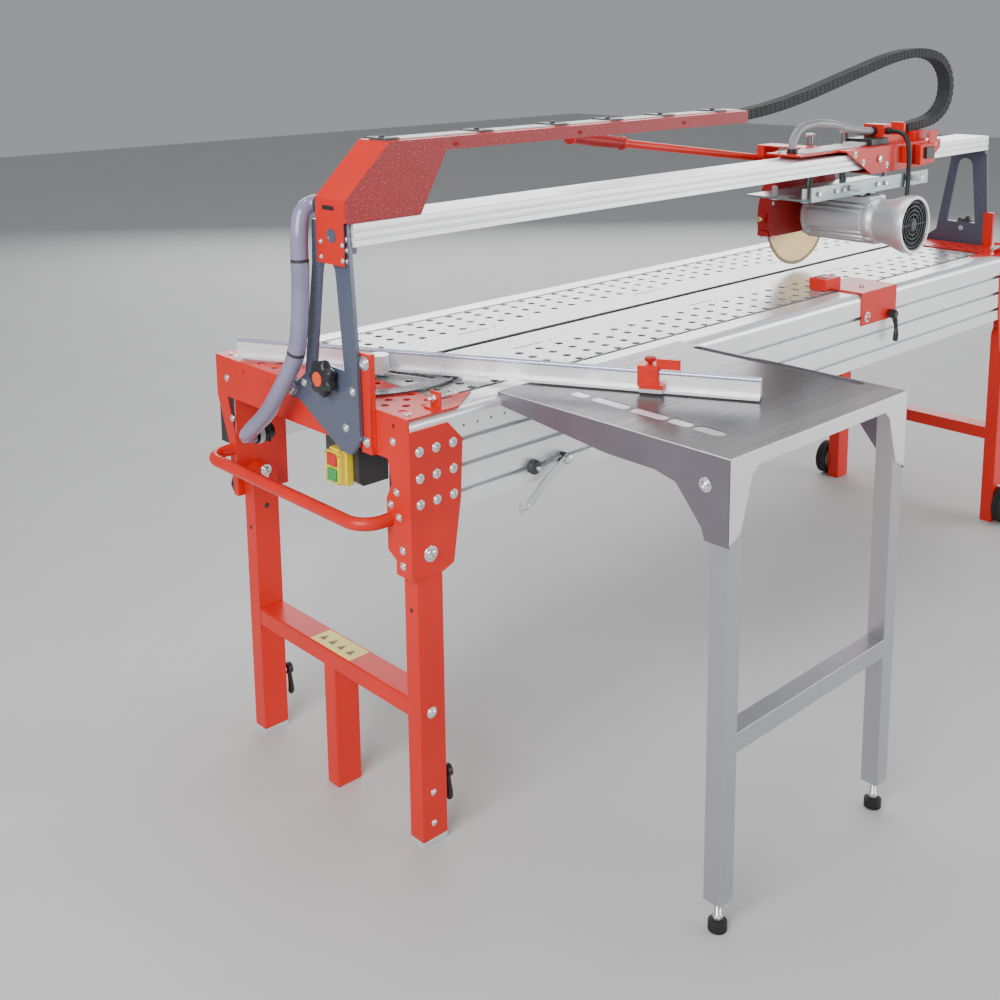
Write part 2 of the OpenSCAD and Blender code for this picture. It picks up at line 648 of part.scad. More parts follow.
module side_table_top() placed() color("#8b8c8f") {
    difference() {
        box(side_x0, side_x1, -side_reach, side_in, side_z - 1.5, side_z);
        for (k = [0:4]) box(side_x0 + 66, side_x0 + 78, -440 - k * 76, -384 - k * 76, side_z - 3, side_z + 1);
        box(side_x1 - 84, side_x1 - 74, -800, -420, side_z - 3, side_z + 1);
    }
    for (x = [side_x0, side_x1 - 2]) along_x(x, x + 2) polygon([[side_in, side_z - 1.4],
        [side_in, side_z - 26], [-590, side_z - 55], [-700, side_z - 56], [-745, side_z - 66],
        [-800, side_z - 130], [-806, side_z - 150], [-side_reach, side_z - 150],
        [-side_reach, side_z - 1.4]]);
    along_y(-side_reach, -side_reach + 2) polygon([[side_x0, side_z - 1.4], [side_x0, side_z - 146],
        [side_x0 + 30, side_z - 132], [side_x0 + 58, side_z - 40], [side_x0 + 76, side_z - 26],
        [side_x1 - 76, side_z - 26], [side_x1 - 58, side_z - 40], [side_x1 - 30, side_z - 132],
        [side_x1, side_z - 146], [side_x1, side_z - 1.4]]);
    box(side_x0, side_x1, side_in - 2, side_in, side_z - 26, side_z - 1.4);
    for (x = [side_x0 + 45, side_x1 - 45]) {
        box(x - 20, x + 20, side_in - 2, side_in, groove_z[2] - 14, side_z - 25.9);
        rod_y(4.2, side_in - 1, -half_w + 5, x, groove_z[2]);
        rod_y(8.5, -half_w + 5.5, -half_w + 10.5, x, groove_z[2]);
        rod_y(4.2, -half_w + 4.9, -half_w + 5.6, x, groove_z[2]);
        rod_y(9, side_in - 7, side_in - 2, x, groove_z[2]);
    }
}

module side_table_legs() placed() color("#8b8c8f") {
    for (x = foot_x) difference() {
        box(x - 17.9, x + 17.9, -side_reach + 2.1, -side_reach + 38.1, 58, side_z - 1.6);
        rod_z(6, 50, 160, x, foot_y);
    }
    box(foot_x[0] + 17.9, foot_x[1] - 17.9, -side_reach + 2.1, -side_reach + 38.1, 332, 368);
}

module screw_foot(x) {
    rod_z(5.95, 22, 130, x, foot_y);
    rod_z(10, 22, 30, x, foot_y);
    rod_z(17, 0, 22, x, foot_y);
}

module side_foot_front() placed() color("#202224") screw_foot(foot_x[0]);

module side_foot_rear() placed() color("#202224") screw_foot(foot_x[1]);

side_rail_near();
side_rail_far();
table_panel_near();
table_panel_far();
table_subframe();
water_tray();
water_pump();
front_bracket();
rear_bracket();
corner_gussets();
frame_bolts();
lift_handles();
switch_box();
switch_plate();
cable_glands();
tilt_bases();
conduit_hose();
start_button();
stop_button();
front_leg_near();
front_leg_far();
front_leg_crossbar();
front_foot_near();
front_foot_far();
clamp_lever_near();
clamp_lever_far();
leg_lock_pin();
rear_leg_near();
rear_leg_far();
rear_leg_crossbar();
rear_wheel_near();
rear_wheel_far();
front_post();
rear_post();
bridge_rail();
arm_cover();
drag_chain();
tilt_knob_front();
tilt_knob_rear();
carriage_saddle();
carriage_rollers();
carriage_handle();
cable_loop();
motor_bracket();
motor_housing();
fan_cover();
motor_cable();
blade_guard();
saw_blade();
blade_flange();
protractor();
mitre_bar();
bar_stop();
side_stop();
side_stop_lever();
hook_lever();
side_table_top();
side_table_legs();
side_foot_front();
side_foot_rear();
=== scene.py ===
"""Looks, light and camera of a wet bridge saw for tiles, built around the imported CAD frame."""
import math
import bmesh
import bpy
from mathutils import Matrix, Vector


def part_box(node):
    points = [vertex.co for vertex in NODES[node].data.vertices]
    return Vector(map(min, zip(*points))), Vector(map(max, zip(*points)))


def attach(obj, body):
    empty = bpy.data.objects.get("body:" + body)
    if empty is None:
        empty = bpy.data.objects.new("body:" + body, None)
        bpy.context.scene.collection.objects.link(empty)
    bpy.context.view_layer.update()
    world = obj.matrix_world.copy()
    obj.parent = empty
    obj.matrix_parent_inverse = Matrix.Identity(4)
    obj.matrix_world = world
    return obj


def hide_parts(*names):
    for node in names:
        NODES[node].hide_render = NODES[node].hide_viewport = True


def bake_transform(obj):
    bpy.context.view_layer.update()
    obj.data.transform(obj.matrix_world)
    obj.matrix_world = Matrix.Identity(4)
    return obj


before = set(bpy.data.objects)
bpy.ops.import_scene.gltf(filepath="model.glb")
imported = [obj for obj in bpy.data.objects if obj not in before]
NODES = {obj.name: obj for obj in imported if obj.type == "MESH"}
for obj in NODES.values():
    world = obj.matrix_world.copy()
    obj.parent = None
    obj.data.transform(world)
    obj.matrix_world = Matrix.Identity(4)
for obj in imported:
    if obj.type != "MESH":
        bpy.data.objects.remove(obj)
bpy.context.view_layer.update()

# Pieces are drawn in millimetres from the cutting line, as the design is, and shifted into the row.
MM = 0.001
BLADE_X = 541
BLADE = sum(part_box("saw_blade"), Vector()) / 2
SHIFT = Vector((BLADE.x - BLADE_X * MM, BLADE.y, 0))


def place(x, y, z):
    """A point of the row frame, in metres, from millimetres measured from the cutting line."""
    return Vector((x, y, z)) * MM + SHIFT


def span(node):
    """Lowest and highest corner of a CAD node, in millimetres from the cutting line."""
    low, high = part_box(node)
    return [(Vector(corner) - SHIFT) / MM for corner in (low, high)]


def middle(node):
    low, high = span(node)
    return (low + high) / 2


# ---------------------------------------------------------------- materials

def new_material(name, colour, rough, metallic=0.0, coat=0.0, specular=0.5):
    mat = bpy.data.materials.new(name)
    mat.use_nodes = True
    shader = mat.node_tree.nodes["Principled BSDF"]
    shader.inputs["Base Color"].default_value = (*colour, 1)
    shader.inputs["Roughness"].default_value = rough
    shader.inputs["Metallic"].default_value = metallic
    shader.inputs["Coat Weight"].default_value = coat
    shader.inputs["Coat Roughness"].default_value = 0.12
    shader.inputs["Specular IOR Level"].default_value = specular
    return mat


def noise(mat, scale, detail=4.0, stretch=(1, 1, 1)):
    """Noise over the object's own coordinates, stretched along an axis for a brushed grain."""
    nodes, links = mat.node_tree.nodes, mat.node_tree.links
    coords = nodes.get("coords") or nodes.new("ShaderNodeTexCoord")
    coords.name = "coords"
    mapping = nodes.new("ShaderNodeMapping")
    mapping.inputs["Scale"].default_value = stretch
    texture = nodes.new("ShaderNodeTexNoise")
    texture.inputs["Scale"].default_value = scale
    texture.inputs["Detail"].default_value = detail
    links.new(coords.outputs["Object"], mapping.inputs["Vector"])
    links.new(mapping.outputs["Vector"], texture.inputs["Vector"])
    return texture.outputs["Fac"]


def ramp(mat, value, low, high, low_colour, high_colour):
    """Colours between two values of a texture."""
    node = mat.node_tree.nodes.new("ShaderNodeValToRGB")
    node.color_ramp.elements[0].position = low
    node.color_ramp.elements[1].position = high
    node.color_ramp.elements[0].color = (*low_colour, 1)
    node.color_ramp.elements[1].color = (*high_colour, 1)
    mat.node_tree.links.new(value, node.inputs["Fac"])
    return node.outputs["Color"]


def spread(mat, value, low, high):
    """A texture's middle range mapped to low..high."""
    node = mat.node_tree.nodes.new("ShaderNodeMapRange")
    node.inputs["From Min"].default_value = 0.3
    node.inputs["From Max"].default_value = 0.7
    node.inputs["To Min"].default_value = low
    node.inputs["To Max"].default_value = high
    mat.node_tree.links.new(value, node.inputs["Value"])
    return node.outputs["Result"]


def shade(colour, factor):
    return tuple(min(1.0, c * factor) for c in colour)


def finish_material(mat, colour, mottle, mottle_scale, rough, rough_swing, grain_scale, depth,
                    stretch=(1, 1, 1), strength=0.35):
    """Mottled colour, uneven roughness and a fine relief, all from noise."""
    nodes, links = mat.node_tree.nodes, mat.node_tree.links
    shader = nodes["Principled BSDF"]
    cloud = noise(mat, mottle_scale, 5, stretch)
    tint = ramp(mat, cloud, 0.35, 0.68, shade(colour, 1 - mottle), shade(colour, 1 + mottle))
    links.new(tint, shader.inputs["Base Color"])
    grain = noise(mat, grain_scale, 3, stretch)
    links.new(spread(mat, grain, max(0.02, rough - rough_swing), rough + rough_swing),
              shader.inputs["Roughness"])
    relief = nodes.new("ShaderNodeBump")
    relief.inputs["Strength"].default_value = strength
    relief.inputs["Distance"].default_value = depth * MM
    links.new(grain, relief.inputs["Height"])
    links.new(relief.outputs["Normal"], shader.inputs["Normal"])
    return mat


def powder_paint(name, colour, rough=0.34, coat=0.0, specular=0.35):
    """Powder coat: even colour with an orange-peel relief and faint dust."""
    mat = new_material(name, colour, rough, coat=coat, specular=specular)
    return finish_material(mat, colour, 0.05, 7, rough, 0.05, 300, 0.05, strength=0.12)


def speckled_paint(name, colour, fleck):
    """A textured paint with light flecks, as on the cover arm's sides."""
    mat = powder_paint(name, colour, 0.46)
    nodes, links = mat.node_tree.nodes, mat.node_tree.links
    shader = nodes["Principled BSDF"]
    base = shader.inputs["Base Color"].links[0].from_socket
    flecks = ramp(mat, noise(mat, 300, 2), 0.56, 0.70, (0, 0, 0), (1, 1, 1))
    mix = nodes.new("ShaderNodeMixRGB")
    mix.inputs["Color2"].default_value = (*fleck, 1)
    links.new(flecks, mix.inputs["Fac"])
    links.new(base, mix.inputs["Color1"])
    links.new(mix.outputs["Color"], shader.inputs["Base Color"])
    return mat


def brushed_metal(name, colour, rough, stretch, grain=90, mottle=0.04, metallic=0.85,
                  specular=0.5):
    """Metal with a grain drawn along the axis whose stretch is small."""
    mat = new_material(name, colour, rough, metallic=metallic, specular=specular)
    return finish_material(mat, colour, mottle, 9, rough, 0.04, grain, 0.01, stretch, 0.06)


def moulded(name, colour, rough, depth=0.06, grain=650, coat=0.0, specular=0.5):
    """Moulded plastic with a fine texture."""
    mat = new_material(name, colour, rough, coat=coat, specular=specular)
    return finish_material(mat, colour, 0.10, 14, rough, 0.07, grain, depth)


def galvanised(name, colour, rough, metallic=0.7, mottle=0.10):
    """Zinc with cloudy spangle."""
    mat = new_material(name, colour, rough, metallic=metallic)
    return finish_material(mat, colour, mottle, 34, rough, 0.05, 120, 0.01, (1, 1, 1), 0.08)


ALL_WAYS = (1, 1, 1)
ALONG_X = (0.02, 1, 1)
ALONG_Z = (1, 1, 0.03)
RED = (0.72, 0.020, 0.010)

MATS = {
    "rail": brushed_metal("extruded_aluminium", (0.93, 0.935, 0.95), 0.33, ALONG_X,
                          metallic=0.55),
    "bar": brushed_metal("bar_aluminium", (0.95, 0.95, 0.97), 0.30, ALL_WAYS, 200, metallic=0.4),
    "bead": brushed_metal("bar_top_bead", (0.50, 0.51, 0.66), 0.28, ALL_WAYS, 200, metallic=0.6),
    "panel": galvanised("perforated_steel", (0.53, 0.535, 0.53), 0.27, 0.5, 0.04),
    "frame_steel": galvanised("frame_steel", (0.42, 0.44, 0.45), 0.42),
    "red": powder_paint("red_powder_coat", RED),
    "red_dark": powder_paint("deep_red_powder_coat", (0.40, 0.010, 0.010), 0.40),
    "red_speckled": speckled_paint("speckled_red_coat", (0.34, 0.018, 0.022), (0.56, 0.13, 0.13)),
    "slate": powder_paint("slate_powder_coat", (0.085, 0.100, 0.150), 0.26, 0.2, 0.6),
    "chain": moulded("dark_chain_links", (0.050, 0.050, 0.054), 0.66, 0.02, 200, specular=0.15),
    "black": moulded("black_plastic", (0.020, 0.020, 0.022), 0.38),
    "box": moulded("dark_grey_plastic", (0.040, 0.041, 0.043), 0.45),
    "yellow": moulded("yellow_plastic", (0.95, 0.70, 0.02), 0.30, coat=0.3),
    "green": moulded("green_plastic", (0.03, 0.36, 0.08), 0.28, coat=0.3),
    "red_plastic": moulded("red_plastic", (0.62, 0.02, 0.015), 0.28, coat=0.3),
    "orange": moulded("orange_cap", (0.88, 0.10, 0.02), 0.35),
    "zinc": brushed_metal("zinc_plate", (0.80, 0.81, 0.82), 0.24, ALL_WAYS, 260),
    "brass": brushed_metal("brass_nut", (0.80, 0.60, 0.24), 0.28, ALL_WAYS, 200),
    "conduit": moulded("lavender_conduit", (0.26, 0.24, 0.38), 0.18, 0.01, 200, 0.6),
    "grey": moulded("grey_plastic", (0.62, 0.62, 0.63), 0.42),
    "hose": moulded("grey_hose", (0.36, 0.36, 0.37), 0.32),
    "motor": brushed_metal("cast_aluminium", (0.70, 0.705, 0.72), 0.42, ALL_WAYS, 40, metallic=0.7),
    "green_zinc": galvanised("green_passivated_zinc", (0.30, 0.38, 0.37), 0.30),
    "blade": brushed_metal("gold_blade", (0.72, 0.53, 0.27), 0.34, ALL_WAYS, 60, 0.05, 0.7),
    "blade_rim": moulded("diamond_rim", (0.42, 0.33, 0.19), 0.55, 0.04, 900),
    "side_top": brushed_metal("side_table_top", (0.085, 0.084, 0.088), 0.24, ALONG_X, 70, 0.03,
                              0.25, 0.3),
    # Near-white copy of the side table's folded steel: painted light, the look of its brightly lit
    # front lip and rolled edges.
    "painted_light_side_edge": brushed_metal("painted_light_side_table_edge", (0.86, 0.86, 0.88), 0.34, ALL_WAYS, 120, 0.03,
                               0.6),
    # Dark grey-purple copy of the same folded steel: painted shade, the colour of its shaded side
    # faces.
    "side_steel": brushed_metal("painted_shade_side_table_skirt", (0.21, 0.195, 0.225), 0.38, ALL_WAYS, 90, 0.06,
                                0.6, 0.35),
    "side_leg": brushed_metal("side_leg_steel", (0.50, 0.505, 0.53), 0.33, ALONG_Z, 160, 0.04, 0.9),
    "rubber": moulded("black_rubber", (0.014, 0.014, 0.015), 0.62, 0.12, 500),
    "cable": moulded("black_cable", (0.016, 0.016, 0.017), 0.46),
    "label": moulded("yellow_label", (0.93, 0.78, 0.16), 0.40),
    "ink": moulded("label_ink", (0.16, 0.13, 0.05), 0.50),
    "dark_steel": brushed_metal("dark_steel", (0.20, 0.20, 0.21), 0.26, ALL_WAYS, 120),
    "spring": brushed_metal("spring_steel", (0.55, 0.55, 0.56), 0.30, ALL_WAYS, 300),
}

NODE_LOOKS = {
    "rail": ["side_rail_near", "side_rail_far", "bridge_rail"],
    "bar": ["mitre_bar"],
    "panel": ["table_panel_near", "table_panel_far"],
    "frame_steel": ["table_subframe", "water_tray"],
    "red": ["front_bracket", "rear_bracket", "corner_gussets", "lift_handles", "tilt_bases",
            "front_leg_near", "front_leg_far", "front_leg_crossbar", "rear_leg_near",
            "rear_leg_far", "rear_leg_crossbar", "carriage_saddle", "carriage_handle", "bar_stop",
            "side_stop"],
    "red_speckled": ["arm_cover"],
    "red_dark": ["blade_guard"],
    "slate": ["front_post", "rear_post"],
    "black": ["water_pump", "cable_glands", "clamp_lever_near", "clamp_lever_far",
              "tilt_knob_front", "tilt_knob_rear", "drag_chain", "side_stop_lever"],
    "box": ["switch_box"],
    "yellow": ["switch_plate"],
    "green": ["start_button"],
    "red_plastic": ["stop_button", "leg_lock_pin"],
    "zinc": ["frame_bolts", "carriage_rollers", "blade_flange", "hook_lever"],
    "conduit": ["conduit_hose"],
    "grey": ["front_foot_near", "front_foot_far"],
    "hose": ["cable_loop"],
    "motor": ["motor_housing", "fan_cover"],
    "green_zinc": ["motor_bracket"],
    "cable": ["motor_cable"],
    "blade": ["saw_blade"],
    "dark_steel": ["protractor"],
    "side_top": ["side_table_top"],
    "side_leg": ["side_table_legs"],
    "rubber": ["side_foot_front", "side_foot_rear", "rear_wheel_near", "rear_wheel_far"],
}


def soften(obj, width, segments=2):
    """Rounds an object's sharp edges by width millimetres and evens its shading."""
    weld = obj.modifiers.new("weld", "WELD")
    weld.merge_threshold = 1e-5
    flat = obj.modifiers.new("flat", "DECIMATE")
    flat.decimate_type = "DISSOLVE"
    flat.angle_limit = math.radians(0.6)
    bevel = obj.modifiers.new("bevel", "BEVEL")
    bevel.width = width * MM
    bevel.segments = segments
    bevel.limit_method = "ANGLE"
    bevel.angle_limit = math.radians(35)
    bevel.harden_normals = False
    normals = obj.modifiers.new("normals", "WEIGHTED_NORMAL")
    normals.keep_sharp = True


# Widths of rounded edges, in millimetres
EDGE_WIDTH = {
    0.4: ["side_table_top"],
    0.5: ["front_bracket", "rear_bracket"],
    0.6: ["side_rail_near", "side_rail_far", "mitre_bar", "corner_gussets", "blade_flange",
          "protractor"],
    0.8: ["tilt_bases", "arm_cover", "side_stop", "motor_bracket"],
    0.9: ["blade_guard"],
    1: ["bridge_rail", "carriage_saddle", "bar_stop", "cable_glands", "water_pump"],
    1.2: ["front_post", "rear_post"],
    2: ["front_foot_near", "front_foot_far", "side_table_legs", "side_stop_lever"],
    3: ["switch_box"],
    3.5: ["front_leg_near", "front_leg_far", "front_leg_crossbar", "rear_leg_near",
          "rear_leg_far", "rear_leg_crossbar"],
}


def dress_nodes():
    for look, names in NODE_LOOKS.items():
        for name in names:
            mesh = NODES[name].data
            mesh.materials.clear()
            mesh.materials.append(MATS[look])
            mesh.polygons.foreach_set("material_index", [0] * len(mesh.polygons))
    cover = NODES["arm_cover"].data
    cover.materials.append(MATS["red"])
    red_faces = [int(abs(face.normal.y) < 0.5) for face in cover.polygons]
    cover.polygons.foreach_set("material_index", red_faces)
    for width, names in EDGE_WIDTH.items():
        for name in names:
            soften(NODES[name], width)


# ---------------------------------------------------------------- mesh helpers

class Shape:
    """Solids in millimetres from the cutting line, gathered into one piece."""

    def __init__(self):
        self.mesh = bmesh.new()

    def add(self, rings, look=0, caps=True, closed=True):
        """Joins rings of points with quads."""
        loops = [[self.mesh.verts.new(p) for p in ring] for ring in rings]
        n = len(loops[0])
        made = []
        for a, b in zip(loops, loops[1:]):
            for k in range(n if closed else n - 1):
                made.append(self.mesh.faces.new((a[k], a[(k + 1) % n], b[(k + 1) % n], b[k])))
        if caps:
            made.append(self.mesh.faces.new(list(reversed(loops[0]))))
            made.append(self.mesh.faces.new(loops[-1]))
        for face in made:
            face.material_index = look
        return made

    def box(self, low, high, look=0):
        (x0, y0, z0), (x1, y1, z1) = low, high
        corners = [(x0, y0), (x1, y0), (x1, y1), (x0, y1)]
        self.add([[(x, y, z) for x, y in corners] for z in (z0, z1)], look)

    def prism(self, outline, low, high, axis, look=0):
        """An outline pulled along an axis. The outline's plane is the other two axes in order."""
        def point(p, along):
            values = list(p)
            values.insert("xyz".index(axis), along)
            return values
        self.add([[point(p, along) for p in outline] for along in (low, high)], look)

    def turned(self, profile, centre, axis, look=0, segments=32):
        """A profile of (radius, place along axis) turned about an axis through centre."""
        index = "xyz".index(axis)
        rings = []
        for radius, along in profile:
            ring = []
            for k in range(segments):
                a = math.tau * k / segments
                values = [centre[i] for i in range(3) if i != index]
                values[0] += radius * math.cos(a)
                values[1] += radius * math.sin(a)
                values.insert(index, centre[index] + along)
                ring.append(values)
            rings.append(ring)
        self.add(rings, look)

    def tube(self, path, radius, look=0, segments=16, caps=True):
        """A round tube along a path. Radius may be a function of the point's number."""
        points = [Vector(p) for p in path]
        rings = []
        side = None
        for i, p in enumerate(points):
            ahead = (points[min(i + 1, len(points) - 1)] - points[max(i - 1, 0)]).normalized()
            if side is None:
                side = ahead.orthogonal().normalized()
            side = (side - ahead * side.dot(ahead)).normalized()
            up = ahead.cross(side)
            r = radius(i) if callable(radius) else radius
            rings.append([p + side * r * math.cos(math.tau * k / segments)
                          + up * r * math.sin(math.tau * k / segments) for k in range(segments)])
        self.add(rings, look, caps)

    def bolt(self, centre, axis, size, out=1, look=0, washer=True):
        """A button head with a hexagon socket, on a washer, standing out along an axis."""
        s = size * out
        if washer:
            self.turned([(size * 1.35, 0), (size * 1.42, s * 0.10), (size * 1.35, s * 0.2),
                         (size * 0.8, s * 0.2)], centre, axis, look, 24)
        head = [(size, s * 0.2), (size, s * 0.32)]
        head += [(size * math.cos(a), s * (0.32 + 0.5 * math.sin(a)))
                 for a in (0.25, 0.5, 0.75, 1.0)]
        head += [(size * 0.42, s * 0.80), (size * 0.40, s * 0.45), (size * 0.05, s * 0.45)]
        self.turned(head, centre, axis, look, 18)

    def hex_nut(self, centre, axis, size, height, out=1, look=0):
        """A chamfered hexagon, standing out along an axis."""
        h = height * out
        self.turned([(size * 0.94, 0), (size, h * 0.12), (size, h * 0.85), (size * 0.86, h)],
                    centre, axis, look, 6)

    def piece(self, name, body, looks, bevel=0.0, stands_for=(), smooth=38):
        """Makes the piece: named, shaded, materials set, riding on its body."""
        bmesh.ops.recalc_face_normals(self.mesh, faces=self.mesh.faces)
        for vert in self.mesh.verts:
            vert.co = place(*vert.co)
        data = bpy.data.meshes.new(name)
        self.mesh.to_mesh(data)
        self.mesh.free()
        return register(name, data, body, looks, bevel, stands_for, smooth)


def register(name, data, body, looks, bevel=0.0, stands_for=(), smooth=38):
    """Puts a mesh in the scene as a finished piece."""
    for look in looks:
        data.materials.append(MATS[look])
    data.polygons.foreach_set("use_smooth", [True] * len(data.polygons))
    data.set_sharp_from_angle(angle=math.radians(smooth))
    obj = bpy.data.objects.new(name, data)
    bpy.context.scene.collection.objects.link(obj)
    if bevel:
        edge = obj.modifiers.new("bevel", "BEVEL")
        edge.width = bevel * MM
        edge.segments = 2
        edge.limit_method = "ANGLE"
        edge.angle_limit = math.radians(35)
    if body:
        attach(obj, body)
    if stands_for:
        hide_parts(*stands_for)
    return obj


def circle(x, y, r, n=16):
    angles = [math.tau * k / n for k in range(n)]
    return [(x + r * math.cos(a), y + r * math.sin(a)) for a in angles]


def oblong(x, y, length, width, n=5):
    """A slot with round ends, along x, or along y where width is the larger."""
    r = min(length, width) / 2
    reach = max(length, width) / 2 - r
    points = []
    for end, start in ((1, -90), (-1, 90)):
        for k in range(n + 1):
            a = math.radians(start + 180 * k / n)
            points.append((end * reach + r * math.cos(a), r * math.sin(a)))
    if width > length:
        points = [(-q, p) for p, q in points]
    return [(x + p, y + q) for p, q in points]


def plate(name, outline, holes, low, high, axis, body, looks, round_edge=0.4, stands_for=()):
    """A flat plate with real holes. The outline's plane is the two axes other than axis."""
    curve = bpy.data.curves.new(name, "CURVE")
    curve.dimensions = "2D"
    curve.fill_mode = "BOTH"
    for loop in [outline, *holes]:
        spline = curve.splines.new("POLY")
        spline.points.add(len(loop) - 1)
        spline.use_cyclic_u = True
        for point, (a, b) in zip(spline.points, loop):
            point.co = (a, b, 0, 1)
    curve.extrude = (high - low) / 2 - round_edge
    curve.bevel_depth = round_edge
    curve.bevel_resolution = 1
    curve.offset = -round_edge
    temporary = bpy.data.objects.new(name, curve)
    bpy.context.scene.collection.objects.link(temporary)
    data = bpy.data.meshes.new_from_object(temporary.evaluated_get(
        bpy.context.evaluated_depsgraph_get()))
    bpy.data.objects.remove(temporary)
    bpy.data.curves.remove(curve)
    data.materials.clear()
    middle_along = (low + high) / 2
    for vert in data.vertices:
        values = [vert.co.x, vert.co.y]
        values.insert("xyz".index(axis), vert.co.z + middle_along)
        vert.co = place(*values)
    if axis == "y":
        data.flip_normals()
    return register(name, data, body, looks, 0, stands_for, 30)


def smooth_path(points, steps):
    """A Catmull-Rom curve through the points."""
    out = []
    for i in range(len(points) - 1):
        a, b, c, d = (Vector(points[max(0, min(len(points) - 1, i + k))]) for k in (-1, 0, 1, 2))
        for k in range(steps):
            t = k / steps
            out.append(0.5 * (2 * b + (c - a) * t + (2 * a - 5 * b + 4 * c - d) * t ** 2
                              + (3 * b - a - 3 * c + d) * t ** 3))
    return out + [Vector(points[-1])]


def even_path(points, spacing):
    """The same curve with its points an even distance apart."""
    dense = smooth_path(points, 24)
    out, left = [dense[0]], spacing
    for a, b in zip(dense, dense[1:]):
        length = (b - a).length
        while length and left <= length:
            a = a + (b - a) * (left / length)
            length = (b - a).length
            out.append(a)
            left = spacing
        left -= length
    return out


# ---------------------------------------------------------------- camera, light and floor

def look_matrix(right, down, ahead, place_m):
    """A camera matrix from its right, down and forward directions."""
    turn = Matrix((right, [-v for v in down], [-v for v in ahead])).transposed().to_4x4()
    return Matrix.Translation(place_m) @ turn


def make_camera():
    camera = bpy.data.objects.new("camera", bpy.data.cameras.new("camera"))
    bpy.context.scene.collection.objects.link(camera)
    camera.matrix_world = look_matrix((0.73157, -0.68169, -0.01036), (-0.13154, -0.12622, -0.98324),
                                      (0.66895, 0.72068, -0.18201), (-2.5029, -1.7234, 1.5269))
    camera.data.sensor_width = 36
    camera.data.lens = 45.08
    camera.data.shift_y = -0.24
    camera.data.clip_start = 0.05
    camera.data.clip_end = 100
    bpy.context.scene.camera = camera


def make_light(name, where, target, size, power, colour=(1, 1, 1)):
    light = bpy.data.objects.new(name, bpy.data.lights.new(name, "AREA"))
    bpy.context.scene.collection.objects.link(light)
    light.data.shape = "RECTANGLE"
    light.data.size, light.data.size_y = size
    light.data.energy = power
    light.data.color = colour
    light.visible_camera = False
    aim = Vector(target) - Vector(where)
    turn = aim.to_track_quat("-Z", "Y").to_matrix().to_4x4()
    light.matrix_world = Matrix.Translation(where) @ turn


def make_room():
    """A plain pale floor, a dim even sky and four soft lights."""
    world = bpy.data.worlds.new("sky")
    bpy.context.scene.world = world
    world.use_nodes = True
    world.node_tree.nodes["Background"].inputs["Color"].default_value = (0.80, 0.83, 0.88, 1)
    world.node_tree.nodes["Background"].inputs["Strength"].default_value = 0.42
    make_light("key", (-4.2, -1.2, 2.8), (-0.2, 0, 0.8), (2.6, 2.4), 190)
    make_light("top", (0.4, 0.6, 4.2), (0, 0, 0.8), (4.5, 2.2), 95)
    make_light("side", (3.6, -4.0, 1.5), (0.2, -0.2, 0.7), (5.0, 2.4), 190)
    make_light("back", (4.2, 4.8, 2.4), (0, 0, 0.9), (7.0, 2.2), 230)
    bm = bmesh.new()
    bmesh.ops.create_grid(bm, x_segments=1, y_segments=1, size=14)
    data = bpy.data.meshes.new("floor")
    bm.to_mesh(data)
    bm.free()
    floor = bpy.data.objects.new("floor", data)
    bpy.context.scene.collection.objects.link(floor)
    ground = new_material("pale_floor", (0.56, 0.56, 0.55), 0.7)
    finish_material(ground, (0.56, 0.56, 0.55), 0.02, 3, 0.7, 0.03, 40, 0.05, strength=0.05)
    data.materials.append(ground)


# ---------------------------------------------------------------- table and frame

ENDS = (-1, 1)
SIDES = (-1, 1)
PITCH = 60
HOLE_ROWS = (125, 166, 207, 243)
HOLE_RADIUS = 9.5
SEAM = 3
SHEET = 3
RAIL_LOW = span("side_rail_near")[0]
GROOVES = [RAIL_LOW.z + dz for dz in (33, 82, 132)]
FRONT_END = span("front_bracket")[0].x
REAR_EXTRA = span("rear_bracket")[1].x + FRONT_END
PIVOT_Z = 589


def at_end(end, x):
    """A place along X given at the front end, or mirrored at the rear end."""
    return x if end < 0 else REAR_EXTRA - x


def end_name(end):
    return "front" if end < 0 else "rear"


def side_name(side):
    return "near" if side < 0 else "far"


def table_panel(side):
    """A thin perforated sheet in place of the plain panel, with a longer slot every ten holes."""
    node = f"table_panel_{side_name(side)}"
    low, high = span(node)
    columns = int((high.x - low.x) // PITCH)
    holes = []
    for i in range(columns):
        x = (low.x + high.x) / 2 + (i - (columns - 1) / 2) * PITCH
        holes += [circle(x, side * row, HOLE_RADIUS, 14) for row in HOLE_ROWS]
        if i % 10 == 6:
            holes.append(oblong(x, side * 90, 90, 5))
            holes.append(circle(x + 66, side * 90, 4, 10))
    outline = [(low.x, low.y + SEAM), (high.x, low.y + SEAM), (high.x, high.y - SEAM),
               (low.x, high.y - SEAM)]
    plate(f"{node}_perforated", outline, holes, high.z - SHEET, high.z, "z", "root", ["panel"],
          0.5, [node])


def rail_end_caps():
    """Dark plastic caps that close the side rails' ends."""
    for side in SIDES:
        low, high = span(f"side_rail_{side_name(side)}")
        for end in ENDS:
            shape = Shape()
            x = high.x if end > 0 else low.x
            outline = [(low.y + 3, low.z + 3), (high.y - 3, low.z + 3), (high.y - 3, high.z - 12),
                       (low.y + 3, high.z - 12)]
            shape.prism(outline, min(x, x + end), max(x, x + end), "x")
            shape.piece(f"rail_cap_{side_name(side)}_{end_name(end)}", "root", ["black"],
                        0.3)


